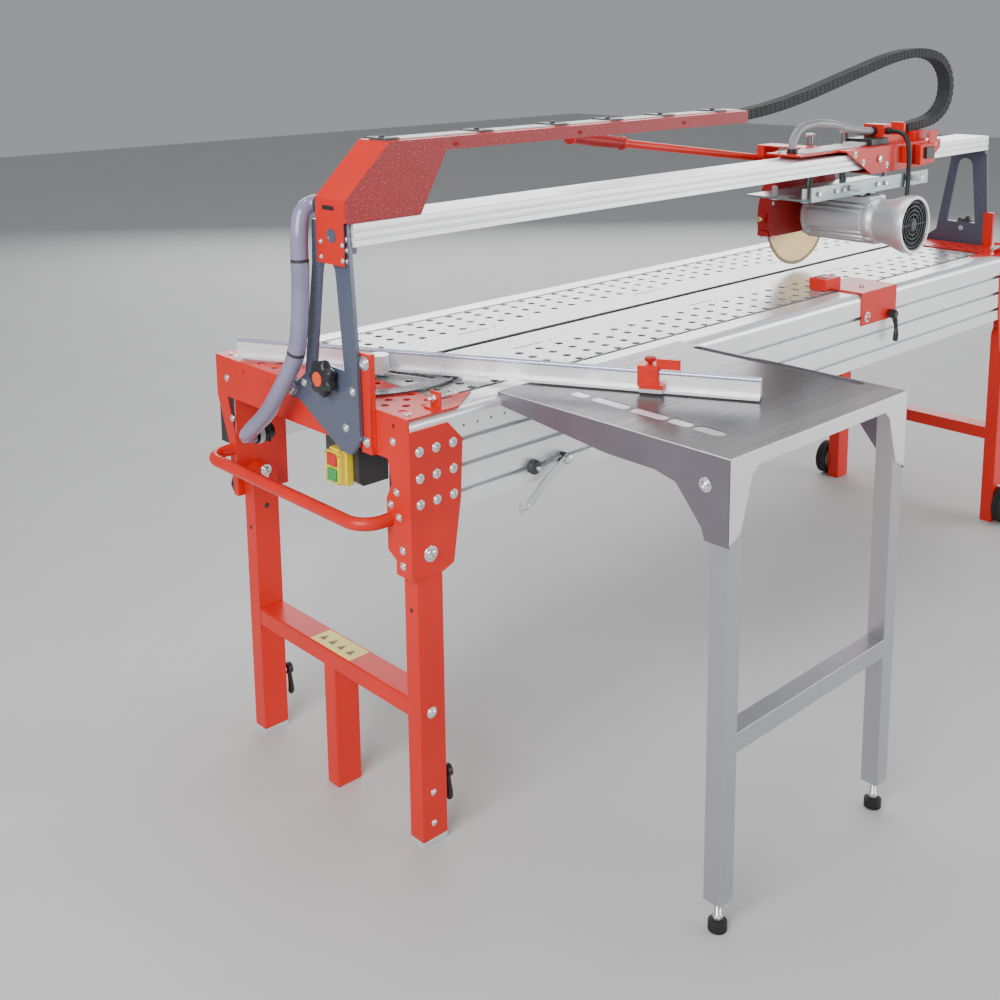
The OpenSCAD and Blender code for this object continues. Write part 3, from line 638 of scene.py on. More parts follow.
def frame_bolts():
    """Button-head bolts on the gussets and on the end brackets, with washers."""
    near = span("corner_gussets")[0].y
    far = span("front_leg_far")[1].y
    leg = middle("front_leg_near").x
    top = span("front_bracket")[1].z
    shape = Shape()
    for end in ENDS:
        for x in (-1108, -1069, -1029):
            for z in GROOVES:
                shape.bolt((at_end(end, x), near, z), "y", 6.6, -1)
        pivot = at_end(end, leg)
        shape.bolt((pivot, near, PIVOT_Z), "y", 11, -1)
        shape.turned([(7.9, 0), (7.9, 42)], (pivot, near, PIVOT_Z), "y")
        shape.turned([(7.9, -42), (7.9, 0)], (pivot, far + 4, PIVOT_Z), "y")
        shape.bolt((pivot, far + 4, PIVOT_Z), "y", 11, 1)
        face = at_end(end, FRONT_END - 0.3)
        for y, z in ((-283, 801), (283, 806), (-290, 707), (-272, 680), (-295, 661), (-304, 600),
                     (-304, 570), (268, 720), (266, 600)):
            shape.bolt((face, y, z), "x", 5.6, end)
        for y in (-302, 302):
            shape.bolt((at_end(end, -1110), y, top), "z", 5, 1)
    shape.piece("bolts_and_washers", "root", ["zinc"], 0, ["frame_bolts"])


def tongue_stop(end):
    """A folded red tab with a stop screw, its nuts and a spring, on the near tongue."""
    top = span("front_bracket")[1].z
    y = -300
    x = at_end(end, -1046)
    inward = -end
    shape = Shape()
    shape.box((min(x, x + inward * 3), y - 15, top), (max(x, x + inward * 3), y + 13, top + 30), 0)
    shape.box((min(x, x - inward * 16), y - 15, top), (max(x, x - inward * 16), y + 13, top + 3), 0)
    shape.turned([(3.6, -22), (3.6, 46)], (x + inward * 5, y, top + 17), "x", 1, 12)
    for shift, out in ((0, -inward), (3, inward), (34, inward)):
        shape.hex_nut((x + inward * shift, y, top + 17), "x", 8, 6, out, 1)
    turns = [(x + inward * (12 + 18 * k / 60), y + 6 * math.cos(math.tau * k / 12),
              top + 17 + 6 * math.sin(math.tau * k / 12)) for k in range(61)]
    shape.tube(turns, 1.0, 2, 6)
    shape.piece(f"tongue_stop_{end_name(end)}", "root", ["red", "zinc", "spring"],
                0.3)


def far_leg_knobs():
    """Lobed knobs with brass bolts that lock the far legs to their gussets."""
    face = 262
    for end in ENDS:
        x = at_end(end, -1104)
        shape = Shape()
        shape.turned([(13, 0), (15, 8), (26, 14), (28, 24), (24, 33), (10, 36)], (x, face, 566),
                     "y", 0, 10)
        shape.hex_nut((x, face, 624), "y", 9, 8, 1, 1)
        shape.piece(f"leg_knob_{end_name(end)}", "root", ["black", "brass"],
                    1.2)


def protractor_details():
    """Two rows of small studs on the protractor's arc."""
    high = span("protractor")[1]
    shape = Shape()
    for angle in range(-130, -59, 10):
        a = math.radians(angle)
        for radius in (176, 198):
            shape.turned([(1.8, 0), (1.8, 0.6), (1.2, 0.9)],
                         (-975 + radius * math.cos(a), radius * math.sin(a), high.z), "z", 0, 8)
    shape.piece("protractor_studs", "root", ["zinc"])


def upright_details():
    """Bolts on the uprights beside the posts."""
    for end in ENDS:
        shape = Shape()
        face = at_end(end, -1143.2)
        shape.bolt((face, -221, 936), "x", 10, end)
        shape.bolt((face, -221, 788), "x", 7, end)
        shape.piece(f"upright_bolts_{end_name(end)}", "root", ["zinc"])


# ---------------------------------------------------------------- switch and conduit

def switch_cover():
    """The yellow switch: a rimmed box with a hinged frame round its two buttons."""
    low, high = span("switch_plate")
    shape = Shape()
    shape.box((low.x + 14, low.y, low.z), (high.x, high.y, high.z))
    shape.box((low.x + 3, low.y + 4, low.z + 4), (low.x + 14.2, high.y - 4, high.z - 2))
    rim = 6
    for y0, y1 in ((low.y + 5, low.y + 5 + rim), (high.y - 5 - rim, high.y - 5)):
        shape.box((low.x, y0, low.z + 5), (low.x + 3.2, y1, high.z - 4))
    for z0, z1 in ((low.z + 5, low.z + 9), (high.z - 8, high.z - 4)):
        shape.box((low.x, low.y + 5, z0), (low.x + 3.2, high.y - 5, z1))
    shape.turned([(3, -12), (3, 12)], (low.x + 10, (low.y + high.y) / 2, high.z + 1), "y", 0, 12)
    shape.piece("switch_cover", "root", ["yellow"], 1.2, ["switch_plate"])
    for name, look, slot in (("start_button", "green", "green_plastic"),
                             ("stop_button", "red_plastic", "red_plastic")):
        centre = middle(name)
        cap = Shape()
        cap.box((low.x - 3, centre.y - 14, centre.z - 12),
                (low.x + 6, centre.y + 14, centre.z + 12))
        cap.piece(f"{name}_cap", name, [look], 2.2, [name])


CONDUIT = [(-1141, -109.4, 1215), (-1141, -100, 1215), (-1152, -84, 1212), (-1172, -82, 1196),
           (-1182, -86, 1150), (-1184, -88, 1080), (-1184, -80, 1000), (-1184, -62, 930),
           (-1184, -20, 870), (-1184, 42, 798), (-1182, 104, 748), (-1176, 136, 725),
           (-1162, 150, 717), (-1150.6, 150, 717)]


def conduit():
    """Smooth conduit with seams, from the cover to the gland, turning at the tilt axis."""
    path = even_path(CONDUIT, 3)
    shape = Shape()
    shape.tube(path, lambda i: 16.7 - 0.2 * (i % 2), 0, 24)
    for z in (1112, 935):
        k = min(range(len(path)), key=lambda i: abs(path[i].z - z))
        shape.tube(path[k - 1:k + 2], 17.3, 1, 24)
        shape.tube(path[k + 1:k + 8], 17.1, 0, 24)
    obj = shape.piece("conduit_pipe", None, ["conduit", "box"], 0, (), 60)
    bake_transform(obj)
    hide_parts("conduit_hose")
    nuts = Shape()
    nuts.turned([(19, 0), (21, 1.5), (21, 12), (18, 14)], (-1150, 150, 717), "x", 0, 12)
    nuts.piece("conduit_nut", "root", ["grey"], 0.4)
    collar = Shape()
    collar.turned([(20, 0), (21.5, 2), (21.5, 9), (18, 11)], (-1141, -112, 1215), "y", 0, 24)
    collar.piece("conduit_collar", "bridge", ["box"], 0.4)


# ---------------------------------------------------------------- legs

def crossbar_label():
    """A plain yellow label with blank marks, on the front crossbar."""
    low, high = span("front_leg_crossbar")
    x0, x1, y0, y1 = low.x + 4, high.x - 6, -100, 34
    shape = Shape()
    shape.box((x0, y0, high.z), (x1, y1, high.z + 0.4), 0)
    for k in range(4):
        y = y0 + 16 + k * 30
        outline = [(x0 + 14, y), (x0 + 34, y + 9), (x0 + 14, y + 18)]
        shape.prism(outline, high.z + 0.4, high.z + 0.6, "z", 1)
    shape.piece("crossbar_label", "front_legs", ["label", "ink"])


def leg_fasteners(end):
    """Bolts and plugs on the legs' outer faces, as seen from the near and the end side."""
    shape = Shape()
    low = span("front_leg_near")[0]
    for z, size in ((274, 8), (110, 4.5), (46, 4.5)):
        shape.bolt((at_end(end, -1090), low.y, z), "y", size, -1)
    shape.bolt((at_end(end, -1085), span("front_leg_far")[0].y, 606), "y", 9, -1)
    shape.turned([(6, -0.1), (6, -0.5), (4.4, -0.6)],
                 (at_end(end, -1087), span("front_leg_far")[0].y, 527), "y", 1, 14)
    for y in (middle("front_leg_near").y, middle("front_leg_far").y):
        shape.turned([(4.5, 0), (4.5, end * 0.5), (3.2, end * 0.6)],
                     (at_end(end, low.x), y, 480), "x", 1, 14)
    shape.piece(f"leg_bolts_{end_name(end)}", f"{end_name(end)}_legs", ["zinc", "black"])


def foot_tips():
    """Ribbed plastic tips under the telescoping feet, with a stiff sleeve above."""
    for node in ("front_foot_near", "front_foot_far"):
        low, high = span(node)
        shape = Shape()
        shape.box((low.x + 1, low.y + 1, 0), (high.x - 1, high.y - 1, 5), 0)
        shape.box((low.x, low.y, 5), (high.x, high.y, 13), 0)
        shape.box((low.x + 2.6, low.y + 2.6, 13), (high.x - 2.6, high.y - 2.6, high.z), 1)
        shape.piece(f"{node}_tip", node, ["grey", "red"], 1.2, [node])


def clamp_levers():
    """Black clamp levers with threaded studs and nuts, on the back of the front legs."""
    for side in ("near", "far"):
        node = f"clamp_lever_{side}"
        low, high = span(node)
        centre = middle(node)
        z = high.z - 12
        shape = Shape()
        shape.turned([(7, 0), (7, 9)], (low.x, centre.y, z), "x", 1, 16)
        shape.turned([(9, 9), (13, 12), (13, 22), (9, 24)], (low.x, centre.y, z), "x", 0, 20)
        x = low.x + 18
        grip = [(x, centre.y, z - 6), (x + 2, centre.y, z - 22), (x + 4, centre.y, z - 44),
                (x + 4, centre.y, low.z + 6), (x + 4, centre.y, low.z)]
        widths = (5.5, 5, 6.5, 7.5, 4)
        shape.tube(grip, lambda i: widths[i], 0, 14)
        shape.piece(f"clamp_{side}_grip", f"clamp_{side}", ["black", "zinc"],
                    0, [node])


def lock_pin():
    """The lock pin's red sleeve and grey tip."""
    centre = middle("leg_lock_pin")
    centre.y = span("leg_lock_pin")[0].y
    shape = Shape()
    shape.turned([(6, 0), (7, 1), (7, 38), (6, 40)], centre, "y", 0, 20)
    shape.turned([(5.2, 40), (5.2, 60), (4.2, 61.4)], centre, "y", 1, 20)
    shape.piece("lock_pin_sleeve", "lock_pin", ["red_plastic", "grey"], 0,
                ["leg_lock_pin"])


def wheel(side):
    """A grooved tyre on a spoked hub with a bearing cap."""
    body, node = f"wheel_{side_name(side)}", f"rear_wheel_{side_name(side)}"
    low, high = span(node)
    centre = middle(node)
    half = (high.y - low.y) / 2
    radius = (high.z - low.z) / 2 - 0.1
    shape = Shape()
    tread = [(radius - 14, -half), (radius - 4, -half), (radius - 1, -half + 3)]
    for k in range(3):
        y = -half + 6 + k * 8
        tread += [(radius, y), (radius, y + 4), (radius - 2, y + 5), (radius - 2, y + 7)]
    tread += [(radius, half - 3), (radius - 4, half), (radius - 14, half)]
    shape_rings(shape, tread + [tread[0]], centre, 0)
    hub = [(8.4, -half + 1), (15, -half + 1), (15, -half + 4), (radius - 15, -half + 8),
           (radius - 14, -half + 3), (radius - 14, half - 3), (radius - 15, half - 8),
           (15, half - 4), (15, half - 1), (8.4, half - 1), (8.4, -half + 1)]
    shape_rings(shape, hub, centre, 1)
    for k in range(5):
        a = math.tau * k / 5
        outer = side * (half - 7.6)
        mid = (centre.x + 27 * math.cos(a), centre.y + outer, centre.z + 27 * math.sin(a))
        shape.turned([(5, 0), (4.4, side * 2)], mid, "y", 0, 14)
    shape.piece(f"wheel_{body}", body, ["rubber", "grey"], 0, [node], 30)
    cap = Shape()
    cap.turned([(8, side * (half + 0.3)), (11, side * (half + 0.6)), (11, side * (half + 3)),
                (8, side * (half + 4.5))], centre, "y", 0, 20)
    cap.piece(f"axle_cap_{body}", "rear_legs", ["zinc"])


def shape_rings(shape, profile, centre, look, segments=48):
    """Turns a closed profile about Y, with no end caps."""
    rings = []
    for radius, along in profile:
        rings.append([(centre.x + radius * math.cos(math.tau * k / segments), centre.y + along,
                       centre.z + radius * math.sin(math.tau * k / segments))
                      for k in range(segments)])
    shape.add(rings, look, False)


# ---------------------------------------------------------------- bridge

def post_fasteners(end):
    """Bolts on the posts and the pivot's cover."""
    name = end_name(end)
    face = span(f"{name}_post")[0 if end < 0 else 1].x
    shape = Shape()
    shape.turned([(15, 0), (15, end * 2), (12, end * 3)], (face, 0, 848), "x", 0, 28)
    shape.hex_nut((face + end * 3, 0, 848), "x", 8, 5, end, 0)
    for y, z in ((-190, 1120), (-190, 1140), (-190, 1160)):
        shape.bolt((face, y, z), "x", 4.5, end)
    for y, z in ((-172, 806), (-40, 866), (-196, 880)):
        shape.bolt((face, y, z), "x", 6, end)
    shape.piece(f"{name}_post_bolts", "bridge", ["zinc"])


def tilt_knob(end):
    """A seven-lobed clamp knob with a glossy oval cap."""
    body, node = f"knob_{end_name(end)}", f"tilt_knob_{end_name(end)}"
    centre = middle(node)
    face = span(f"{end_name(end)}_post")[0 if end < 0 else 1].x
    segments = 84
    shape = Shape()
    rings = []
    for radius, depth, along in ((18, 0, 1), (24, 0.3, 5), (30, 0.8, 9), (32, 1, 14), (32, 1, 23),
                                 (27, 0.7, 28), (17, 0, 30)):
        ring = []
        for k in range(segments):
            a = math.tau * k / segments
            reach = radius + 4 * depth * math.cos(7 * a)
            ring.append((face + end * along, centre.y + reach * math.cos(a),
                         centre.z + reach * math.sin(a)))
        rings.append(ring)
    shape.add(rings, 0)
    shape.turned([(14, end * 29.6), (13.5, end * 31.6), (10, end * 33)], (face, centre.y, centre.z),
                 "x", 1, 28)
    shape.turned([(7.9, -end * 9), (7.9, end * 1.1)], (face, centre.y, centre.z), "x", 2, 16)
    shape.piece(f"{node}_lobed", body, ["black", "orange", "zinc"], 0, [node], 45)


def arm_details():
    """The cover arm's light strip with its clips, its front plate's details and end bolts."""
    low, high = span("arm_cover")
    strip = Shape()
    strip.box((-1052, low.y + 22, high.z), (high.x - 2, high.y - 22, high.z + 2.4), 0)
    for x in (-1040, -806, -595, -425, -250, -60):
        strip.box((x - 18, low.y + 16, high.z + 2.3), (x + 18, high.y - 16, high.z + 5), 1)
        strip.turned([(5, 4.9), (6, 5.4), (4.6, 8.6), (1, 8.8)], (x, middle("arm_cover").y, high.z),
                     "z", 1, 14)
    strip.piece("arm_strip", "bridge", ["grey", "box"], 0.6)
    front = Shape()
    x = low.x
    front.turned([(13, 0), (13, -1.2), (10, -1.4), (9, -0.3)], (x, -158, 1164), "x", 2, 28)
    front.prism(oblong(-150, 1214, 36, 8), x - 0.8, x + 0.2, "x", 1)
    for y, z in ((-190, 1122), (-190, 1150), (-124, 1122), (-124, 1150)):
        front.bolt((x, y, z), "x", 3.6, -1, 0)
    front.piece("arm_front_trim", "bridge", ["zinc", "black", "slate"])
    seam = Shape()
    for x in (-900, -560, -220):
        for y, out in ((low.y, -1), (high.y, 1)):
            seam.bolt((x, y, 1314), "y", 4, out, 0, False)
    seam.piece("arm_side_rivets", "bridge", ["red_dark"])


CHAIN = [(20.5, -150, 1314), (60, -150, 1314), (190, -150, 1327), (340, -150, 1352),
         (560, -150, 1398), (740, -150, 1434), (880, -150, 1446), (1000, -150, 1428),
         (1062, -150, 1372), (1056, -150, 1300), (990, -150, 1256), (880, -150, 1240),
         (812, -150, 1238)]


def drag_chain():
    """Cable chain: a link with two side plates and two cross bars every pitch along the route."""
    pitch = 20
    path = even_path(CHAIN, pitch)
    shape = Shape()
    for a, b in zip(path, path[1:]):
        ahead = (b - a).normalized()
        up = Vector((-ahead.z, 0, ahead.x))
        mid = (a + b) / 2

        def local(along, across, high):
            return mid + ahead * along + Vector((0, across, 0)) + up * high

        for side in (-1, 1):
            for shift, thick, tall in ((-2, 19.6, 12.0), (2, 17.4, 12.4)):
                outline = [(shift - 9, -tall * 0.7), (shift - 6, -tall), (shift + 6, -tall),
                           (shift + 9, -tall * 0.7), (shift + 9, tall * 0.7), (shift + 6, tall),
                           (shift - 6, tall), (shift - 9, tall * 0.7)]
                shape.add([[local(p, side * (thick - depth), q) for p, q in outline]
                           for depth in (0, 3)])
        for high in (-1, 1):
            corners = [(-8.6, 11.2), (8.6, 11.2), (8.6, 12.8), (-8.6, 12.8)]
            shape.add([[local(p, across, high * q) for p, q in corners] for across in (-17, 17)])
    obj = shape.piece("drag_chain_links", None, ["chain"], 0, (), 30)
    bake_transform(obj)
    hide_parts("drag_chain")


# ---------------------------------------------------------------- carriage

def carriage_details():
    """Bolts, blocks, covers and clamps on the saddle."""
    near = span("carriage_saddle")[0].y
    deck = 1202
    shape = Shape()
    for x, z in ((520, 1166), (820, 1166), (480, 1190), (900, 1190), (640, 1150), (760, 1150)):
        shape.bolt((x, near, z), "y", 6, -1, 0)
    for x in (290, 400, 560, 640, 880):
        shape.bolt((x, -105, deck), "z", 6, 1, 0)
    shape.piece("saddle_bolts", "carriage", ["zinc"])
    red = Shape()
    red.box((716, near - 16, 1150), (742, near, 1196), 0)
    red.box((780, near - 22, 1140), (860, near - 3, 1196), 0)
    red.box((800, near - 30, 1156), (842, near - 21, 1188), 1)
    red.box((860, near - 3, 1170), (905, near + 1, 1230), 0)
    red.box((600, -190, deck), (688, -110, deck + 18), 1)
    red.box((836, -186, deck), (900, -120, deck + 26), 0)
    red.piece("saddle_blocks", "carriage", ["red", "black"], 1.2)
    light = Shape()
    light.box((300, -182, deck), (560, -118, deck + 3), 0)
    light.box((560, -175, deck + 2), (600, -125, deck + 10), 0)
    light.piece("saddle_cover_strip", "carriage", ["grey"], 0.8)
    nuts = Shape()
    for x in (500, 670):
        nuts.turned([(13, 0), (13, 5), (10.4, 6)], (x, -62, 1183), "z", 0, 20)
        nuts.hex_nut((x, -62, 1228), "z", 13, 8, 1, 0)
    nuts.piece("column_nuts", "head", ["zinc"])


def rollers():
    """Grooved rollers with bearing faces, running over and under the rail."""
    shape = Shape()
    for x in (600, 820):
        for z in (1140.4, 1192.4):
            shape.turned([(3.2, 0), (4.0, 1), (4.0, 88), (3.2, 89)], (x, -195, z), "y", 0, 16)
        shape.hex_nut((x, -215.2, 1169), "y", 11, 6, -1, 0)
    shape.piece("carriage_roller_set", "carriage", ["zinc"], 0, ["carriage_rollers"])


def feed_handle():
    """The red feed handle: bent bracket, tube, and a ribbed grip with end rings."""
    rise = math.atan(110 / 778)
    root = Vector((430, 30, 1166))
    ahead = Vector((-math.cos(rise), 0, math.sin(rise)))
    shape = Shape()
    shape.box((400, -110, 1202.1), (470, 41, 1206), 0)
    shape.box((400, 18, 1150), (470, 41, 1202.2), 0)
    shape.tube([root, root + ahead * 600], 10, 0, 24)
    grip = [root + ahead * d for d in (596, 600, 606, 612, 700, 776, 782, 790, 796)]
    widths = (12, 16.5, 16.5, 14, 15.5, 14, 16.8, 16.8, 12)
    shape.tube(grip, lambda i: widths[i], 1, 28)
    for d in (604, 786):
        shape.tube([root + ahead * (d - 4), root + ahead * (d + 4)], 17, 0, 28)
    shape.piece("feed_handle", "carriage", ["red", "red_dark"], 0.8,
                ["carriage_handle"])


LOOP = [(300, -140, 1203), (304, -140, 1232), (334, -140, 1262), (400, -140, 1272),
        (480, -140, 1266), (560, -140, 1250), (640, -140, 1238), (688, -140, 1236)]
CABLE = [(708, -172.6, 1236), (708, -184, 1236), (708, -206, 1235), (708, -228, 1224),
         (708, -241, 1190), (708, -243, 1120), (702, -245, 1060), (684, -249, 1010),
         (660, -250, 988), (633.4, -250, 984)]


def hoses():
    """The corrugated loop on the saddle and the motor's cable, each with its glands."""
    loop = Shape()
    path = even_path(LOOP, 3.2)
    loop.tube(path, lambda i: 10.8 - 0.9 * (i % 2), 0, 20)
    loop.piece("hose_loop", "carriage", ["hose"], 0, ["cable_loop"], 60)
    ends = Shape()
    ends.turned([(13, 0), (14, 1), (14, 10), (11.5, 12)], (300, -140, 1202), "z", 0, 12)
    ends.turned([(12.5, 0), (13.5, 1), (13.5, 12), (11.5, 14)], (676, -140, 1236), "x", 0, 12)
    ends.turned([(9, 0), (10, -1), (10, -10), (7, -13)], (708, -172, 1236), "y", 0, 12)
    ends.piece("hose_glands", "carriage", ["black"])
    cable = Shape()
    cable.tube(even_path(CABLE, 8), 6.4, 0, 16)
    obj = cable.piece("motor_cable_round", None, ["cable"], 0, (), 60)
    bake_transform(obj)
    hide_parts("motor_cable")
    gland = Shape()
    gland.turned([(7.5, 14), (9, 12), (11, 9), (11, 1), (10, 0)], (633, -250, 984), "x", 0, 12)
    gland.piece("motor_gland", "head", ["black"])


# ---------------------------------------------------------------- saw head

def motor_centre():
    """Where the motor's axis meets the cutting line."""
    blade = middle("saw_blade")
    return Vector((blade.x, 0, blade.z))


def finned_motor():
    """Cast motor: ribbed body, mounting pad, end shields and terminal box."""
    centre = motor_centre()
    high = span("motor_housing")[1]
    segments = 144
    shape = Shape()

    def ribbed(y0, y1, base, rib, look):
        rings = []
        for y, inset in ((y0, 1.5), (y0 + 1.5, 0), (y1 - 1.5, 0), (y1, 1.5)):
            ring = []
            for k in range(segments):
                a = math.tau * k / segments
                wave = max(0.0, math.cos(24 * a)) ** 0.4 if math.cos(24 * a) > 0 else 0.0
                flat = 1.0 if abs(math.cos(a)) > 0.93 or abs(math.sin(a)) > 0.95 else wave
                r = base + rib * flat - inset
                ring.append((centre.x + r * math.cos(a), y, centre.z + r * math.sin(a)))
            rings.append(ring)
        shape.add(rings, look)

    ribbed(-236, -66, 59, 5, 0)
    shape.turned([(60, -66), (63.6, -64.6), (64, -54), (60, -50.4), (27, -50), (26.9, -21.2)],
                 centre, "y", 0, 64)
    shape.turned([(56, -268), (61, -262), (64, -246), (62, -235)], centre, "y", 0, 64)
    for k in range(4):
        a = math.radians(45 + 90 * k)
        lug = (centre.x + 61 * math.cos(a), 0, centre.z + 61 * math.sin(a))
        for y0, y1 in ((-72, -50.2), (-258, -236)):
            shape.turned([(6.5, y0), (7, y0 + 1), (7, y1 - 1), (6.5, y1)], lug, "y", 0, 16)
        shape.turned([(2.6, -238), (2.6, -70)], lug, "y", 1, 10)
        shape.bolt((lug[0], -258, lug[2]), "y", 4.6, -1, 1, False)
    shape.box((centre.x - 40, -250, centre.z + 48), (centre.x + 40, -70, high.z - 2), 0)
    for x in (centre.x - 32, centre.x + 32):
        for y in (-240, -90):
            shape.hex_nut((x, y, high.z - 2), "z", 7, 2, 1, 1)
    shape.box((centre.x + 34, -280, centre.z - 54), (high.x - 3, -222, centre.z + 4), 0)
    shape.box((high.x - 3.1, -276, centre.z - 50), (high.x, -226, centre.z), 0)
    for y in (-272, -230):
        for z in (centre.z - 46, centre.z - 4):
            shape.bolt((high.x - 0.2, y, z), "x", 2.8, 1, 1, False)
    shape.piece("motor_ribbed", "head", ["motor", "zinc"], 0.5,
                ["motor_housing"])


def fan_cowl():
    """The flared cowl over the fan, open at its end."""
    centre = motor_centre()
    cowl = Shape()
    outline = [(54, -262), (57, -266), (61, -292), (71, -322), (76.5, -340), (76.9, -358),
               (75, -362), (68, -362), (67, -350), (54, -300)]
    shape_rings(cowl, outline, centre, 0, 72)
    cowl.turned([(54, -304), (54, -300)], centre, "y", 1, 48)
    cowl.piece("fan_cowl", "head", ["motor", "black"], 0, ["fan_cover"])


def fan_grille():
    """Concentric wires and eight spokes in the cowl's mouth."""
    centre = motor_centre()
    grille = Shape()
    for radius in (16, 27, 38, 49, 60, 67):
        shape_rings(grille, [(radius - 1.5, -356), (radius + 1.5, -356), (radius + 1.5, -352),
                             (radius - 1.5, -352), (radius - 1.5, -356)], centre, 0, 60)
    grille.turned([(13, -358), (13.5, -356), (13.5, -350)], centre, "y", 0, 28)
    for k in range(8):
        a = math.tau * k / 8
        along = Vector((math.cos(a), 0, math.sin(a)))
        ends = [centre + along * r + Vector((0, -354.5, 0)) for r in (12, 67)]
        grille.tube(ends, 1.8, 0, 8)
    grille.piece("fan_grille", "head", ["black"], 0)


def cooling_fan():
    """Nine twisted vanes on a hub, turning with the blade."""
    centre = motor_centre()
    fan = Shape()
    for k in range(9):
        a = math.tau * k / 9
        b = a + 0.5
        ring = [(centre.x + r * math.cos(t), y, centre.z + r * math.sin(t))
                for r, t, y in ((14, a, -340), (50, a + 0.2, -340), (50, b, -322), (14, b, -322))]
        grown = [(x, y + 1.5, z) for x, y, z in ring]
        fan.add([ring, grown], 0)
    fan.turned([(14, -345), (15, -342), (15, -318)], centre, "y", 0, 24)
    fan.piece("cooling_fan", "blade", ["box"], 0)


def bracket_details():
    """Studs and bolts on the motor's bracket."""
    near = span("motor_bracket")[0].y
    shape = Shape()
    for x in (280, 360, 395, 560, 600, 720, 790):
        shape.hex_nut((x, near, 1106), "y", 7, 6, -1, 0)
    for x in (430, 740):
        shape.turned([(7, -1), (8, -2), (8, -26), (6, -28)], (x, near, 1108), "y", 1, 18)
    for x in (272, 808):
        for y in (-200, -110):
            shape.turned([(7, 0), (7, 24), (5, 26)], (x, y, 1091), "z", 1, 18)
            shape.hex_nut((x, y, 1086), "z", 10, 5, -1, 0)
    shape.piece("bracket_studs", "head", ["zinc", "grey"], 0.4)


def guard_details():
    """Rim bolts, a water fitting and a front latch on the blade guard."""
    centre = middle("saw_blade")
    low, high = span("blade_guard")
    shape = Shape()
    for angle in (200, 165, 130, 95, 60, 25, -10):
        a = math.radians(angle)
        spot = (centre.x + 160 * math.cos(a), 0, centre.z + 160 * math.sin(a))
        shape.bolt((spot[0], high.y, spot[2]), "y", 4.5, 1, 0)
        shape.bolt((spot[0], low.y, spot[2]), "y", 4.5, -1, 0)
    shape.turned([(36, 0), (36, -2.5), (32, -3.2)], (centre.x, low.y, centre.z), "y", 1, 48)
    shape.piece("guard_bolts", "guard", ["zinc", "red_dark"])
    left = Shape()
    x = low.x
    left.box((x - 9, -18, 998), (x + 6, 4, 1024), 1)
    left.turned([(6, -20), (7, -18), (7, -10), (4, -9)], (x, -7, 1010), "x", 0, 14)
    left.box((x - 4, -22, 962), (x + 10, 8, 976), 1)
    left.piece("guard_fitting", "guard", ["brass", "red_dark"], 1.0)


def segmented_blade():
    """The saw blade: a gold steel core with expansion slots and a thicker diamond rim."""
    centre = middle("saw_blade")
    radius = 149.6
    segments = 24
    outline = []
    for k in range(segments):
        start = math.tau * k / segments
        for share in (0.0, 0.16, 0.33, 0.5, 0.66, 0.83):
            a = start + math.tau / segments * share * 0.94
            outline.append((centre.x + radius * math.cos(a), centre.z + radius * math.sin(a)))
        gap = start + math.tau / segments * 0.97
        for reach, shift in ((radius, -0.006), (138, -0.006), (134, 0), (138, 0.006),
                             (radius, 0.006)):
            outline.append((centre.x + reach * math.cos(gap + shift),
                            centre.z + reach * math.sin(gap + shift)))
    plate("blade_core", outline, [circle(centre.x, centre.z, 12.75, 32)], -1.1, 1.1, "y", "blade",
          ["blade"], 0.15, ["saw_blade"])
    rim = Shape()
    for k in range(segments):
        start = math.tau * k / segments + 0.006
        end = start + math.tau / segments * 0.93
        angles = [start + (end - start) * j / 5 for j in range(6)]
        arc = [(centre.x + radius * math.cos(a), centre.z + radius * math.sin(a)) for a in angles]
        inner = [(centre.x + 141 * math.cos(a), centre.z + 141 * math.sin(a))
                 for a in reversed(angles)]
        rim.prism(arc + inner, -1.6, 1.6, "y", 0)
    rim.piece("blade_rim", "blade", ["blade_rim"], 0)


# ---------------------------------------------------------------- squaring bar and stops

BAR_ANGLE = math.radians(28.4)
BAR_PIVOT = Vector((-975, 0, 0))


def on_bar(along, across, z):
    """A point given along and across the squaring bar."""
    ahead = Vector((math.sin(BAR_ANGLE), -math.cos(BAR_ANGLE), 0))
    aside = Vector((math.cos(BAR_ANGLE), math.sin(BAR_ANGLE), 0))
    return BAR_PIVOT + ahead * along + aside * across + Vector((0, 0, z))


def bar_solid(shape, x, y, z, look=0):
    """A block between bar coordinates, each given as a pair."""
    corners = [(x[0], y[0]), (x[1], y[0]), (x[1], y[1]), (x[0], y[1])]
    shape.add([[on_bar(a, b, height) for a, b in corners] for height in z], look)


def bar_details():
    """The bar's rounded top bead with a scale, and the round clamp knob."""
    shape = Shape()
    shape.tube([on_bar(-289, -8, 892.6), on_bar(789, -8, 892.6)], 5.3, 0, 20)
    for k in range(104):
        reach = 2.6 if k % 10 == 0 else (2.0 if k % 5 == 0 else 1.3)
        x = -240 + k * 9.8
        bar_solid(shape, (x, -239 + k * 9.8), (-8 - reach, -8 + reach), (897.2, 898.0), 1)
    shape.piece("bar_bead", "mitre", ["bead", "ink"])
    knob = Shape()
    spot = on_bar(50, -46, 862)
    knob.turned([(15, 0), (19, 3), (19, 16), (17, 24), (12, 30), (5, 33), (1, 33.6)], spot, "z",
                0, 24)
    for x in (-55, 20):
        knob.turned([(6, 0), (6.4, 0.8), (5, 4), (1, 4.2)], on_bar(x, 5, 890.9), "z", 1, 16)
    knob.piece("bar_knob", "mitre", ["black", "zinc"], 0.6)


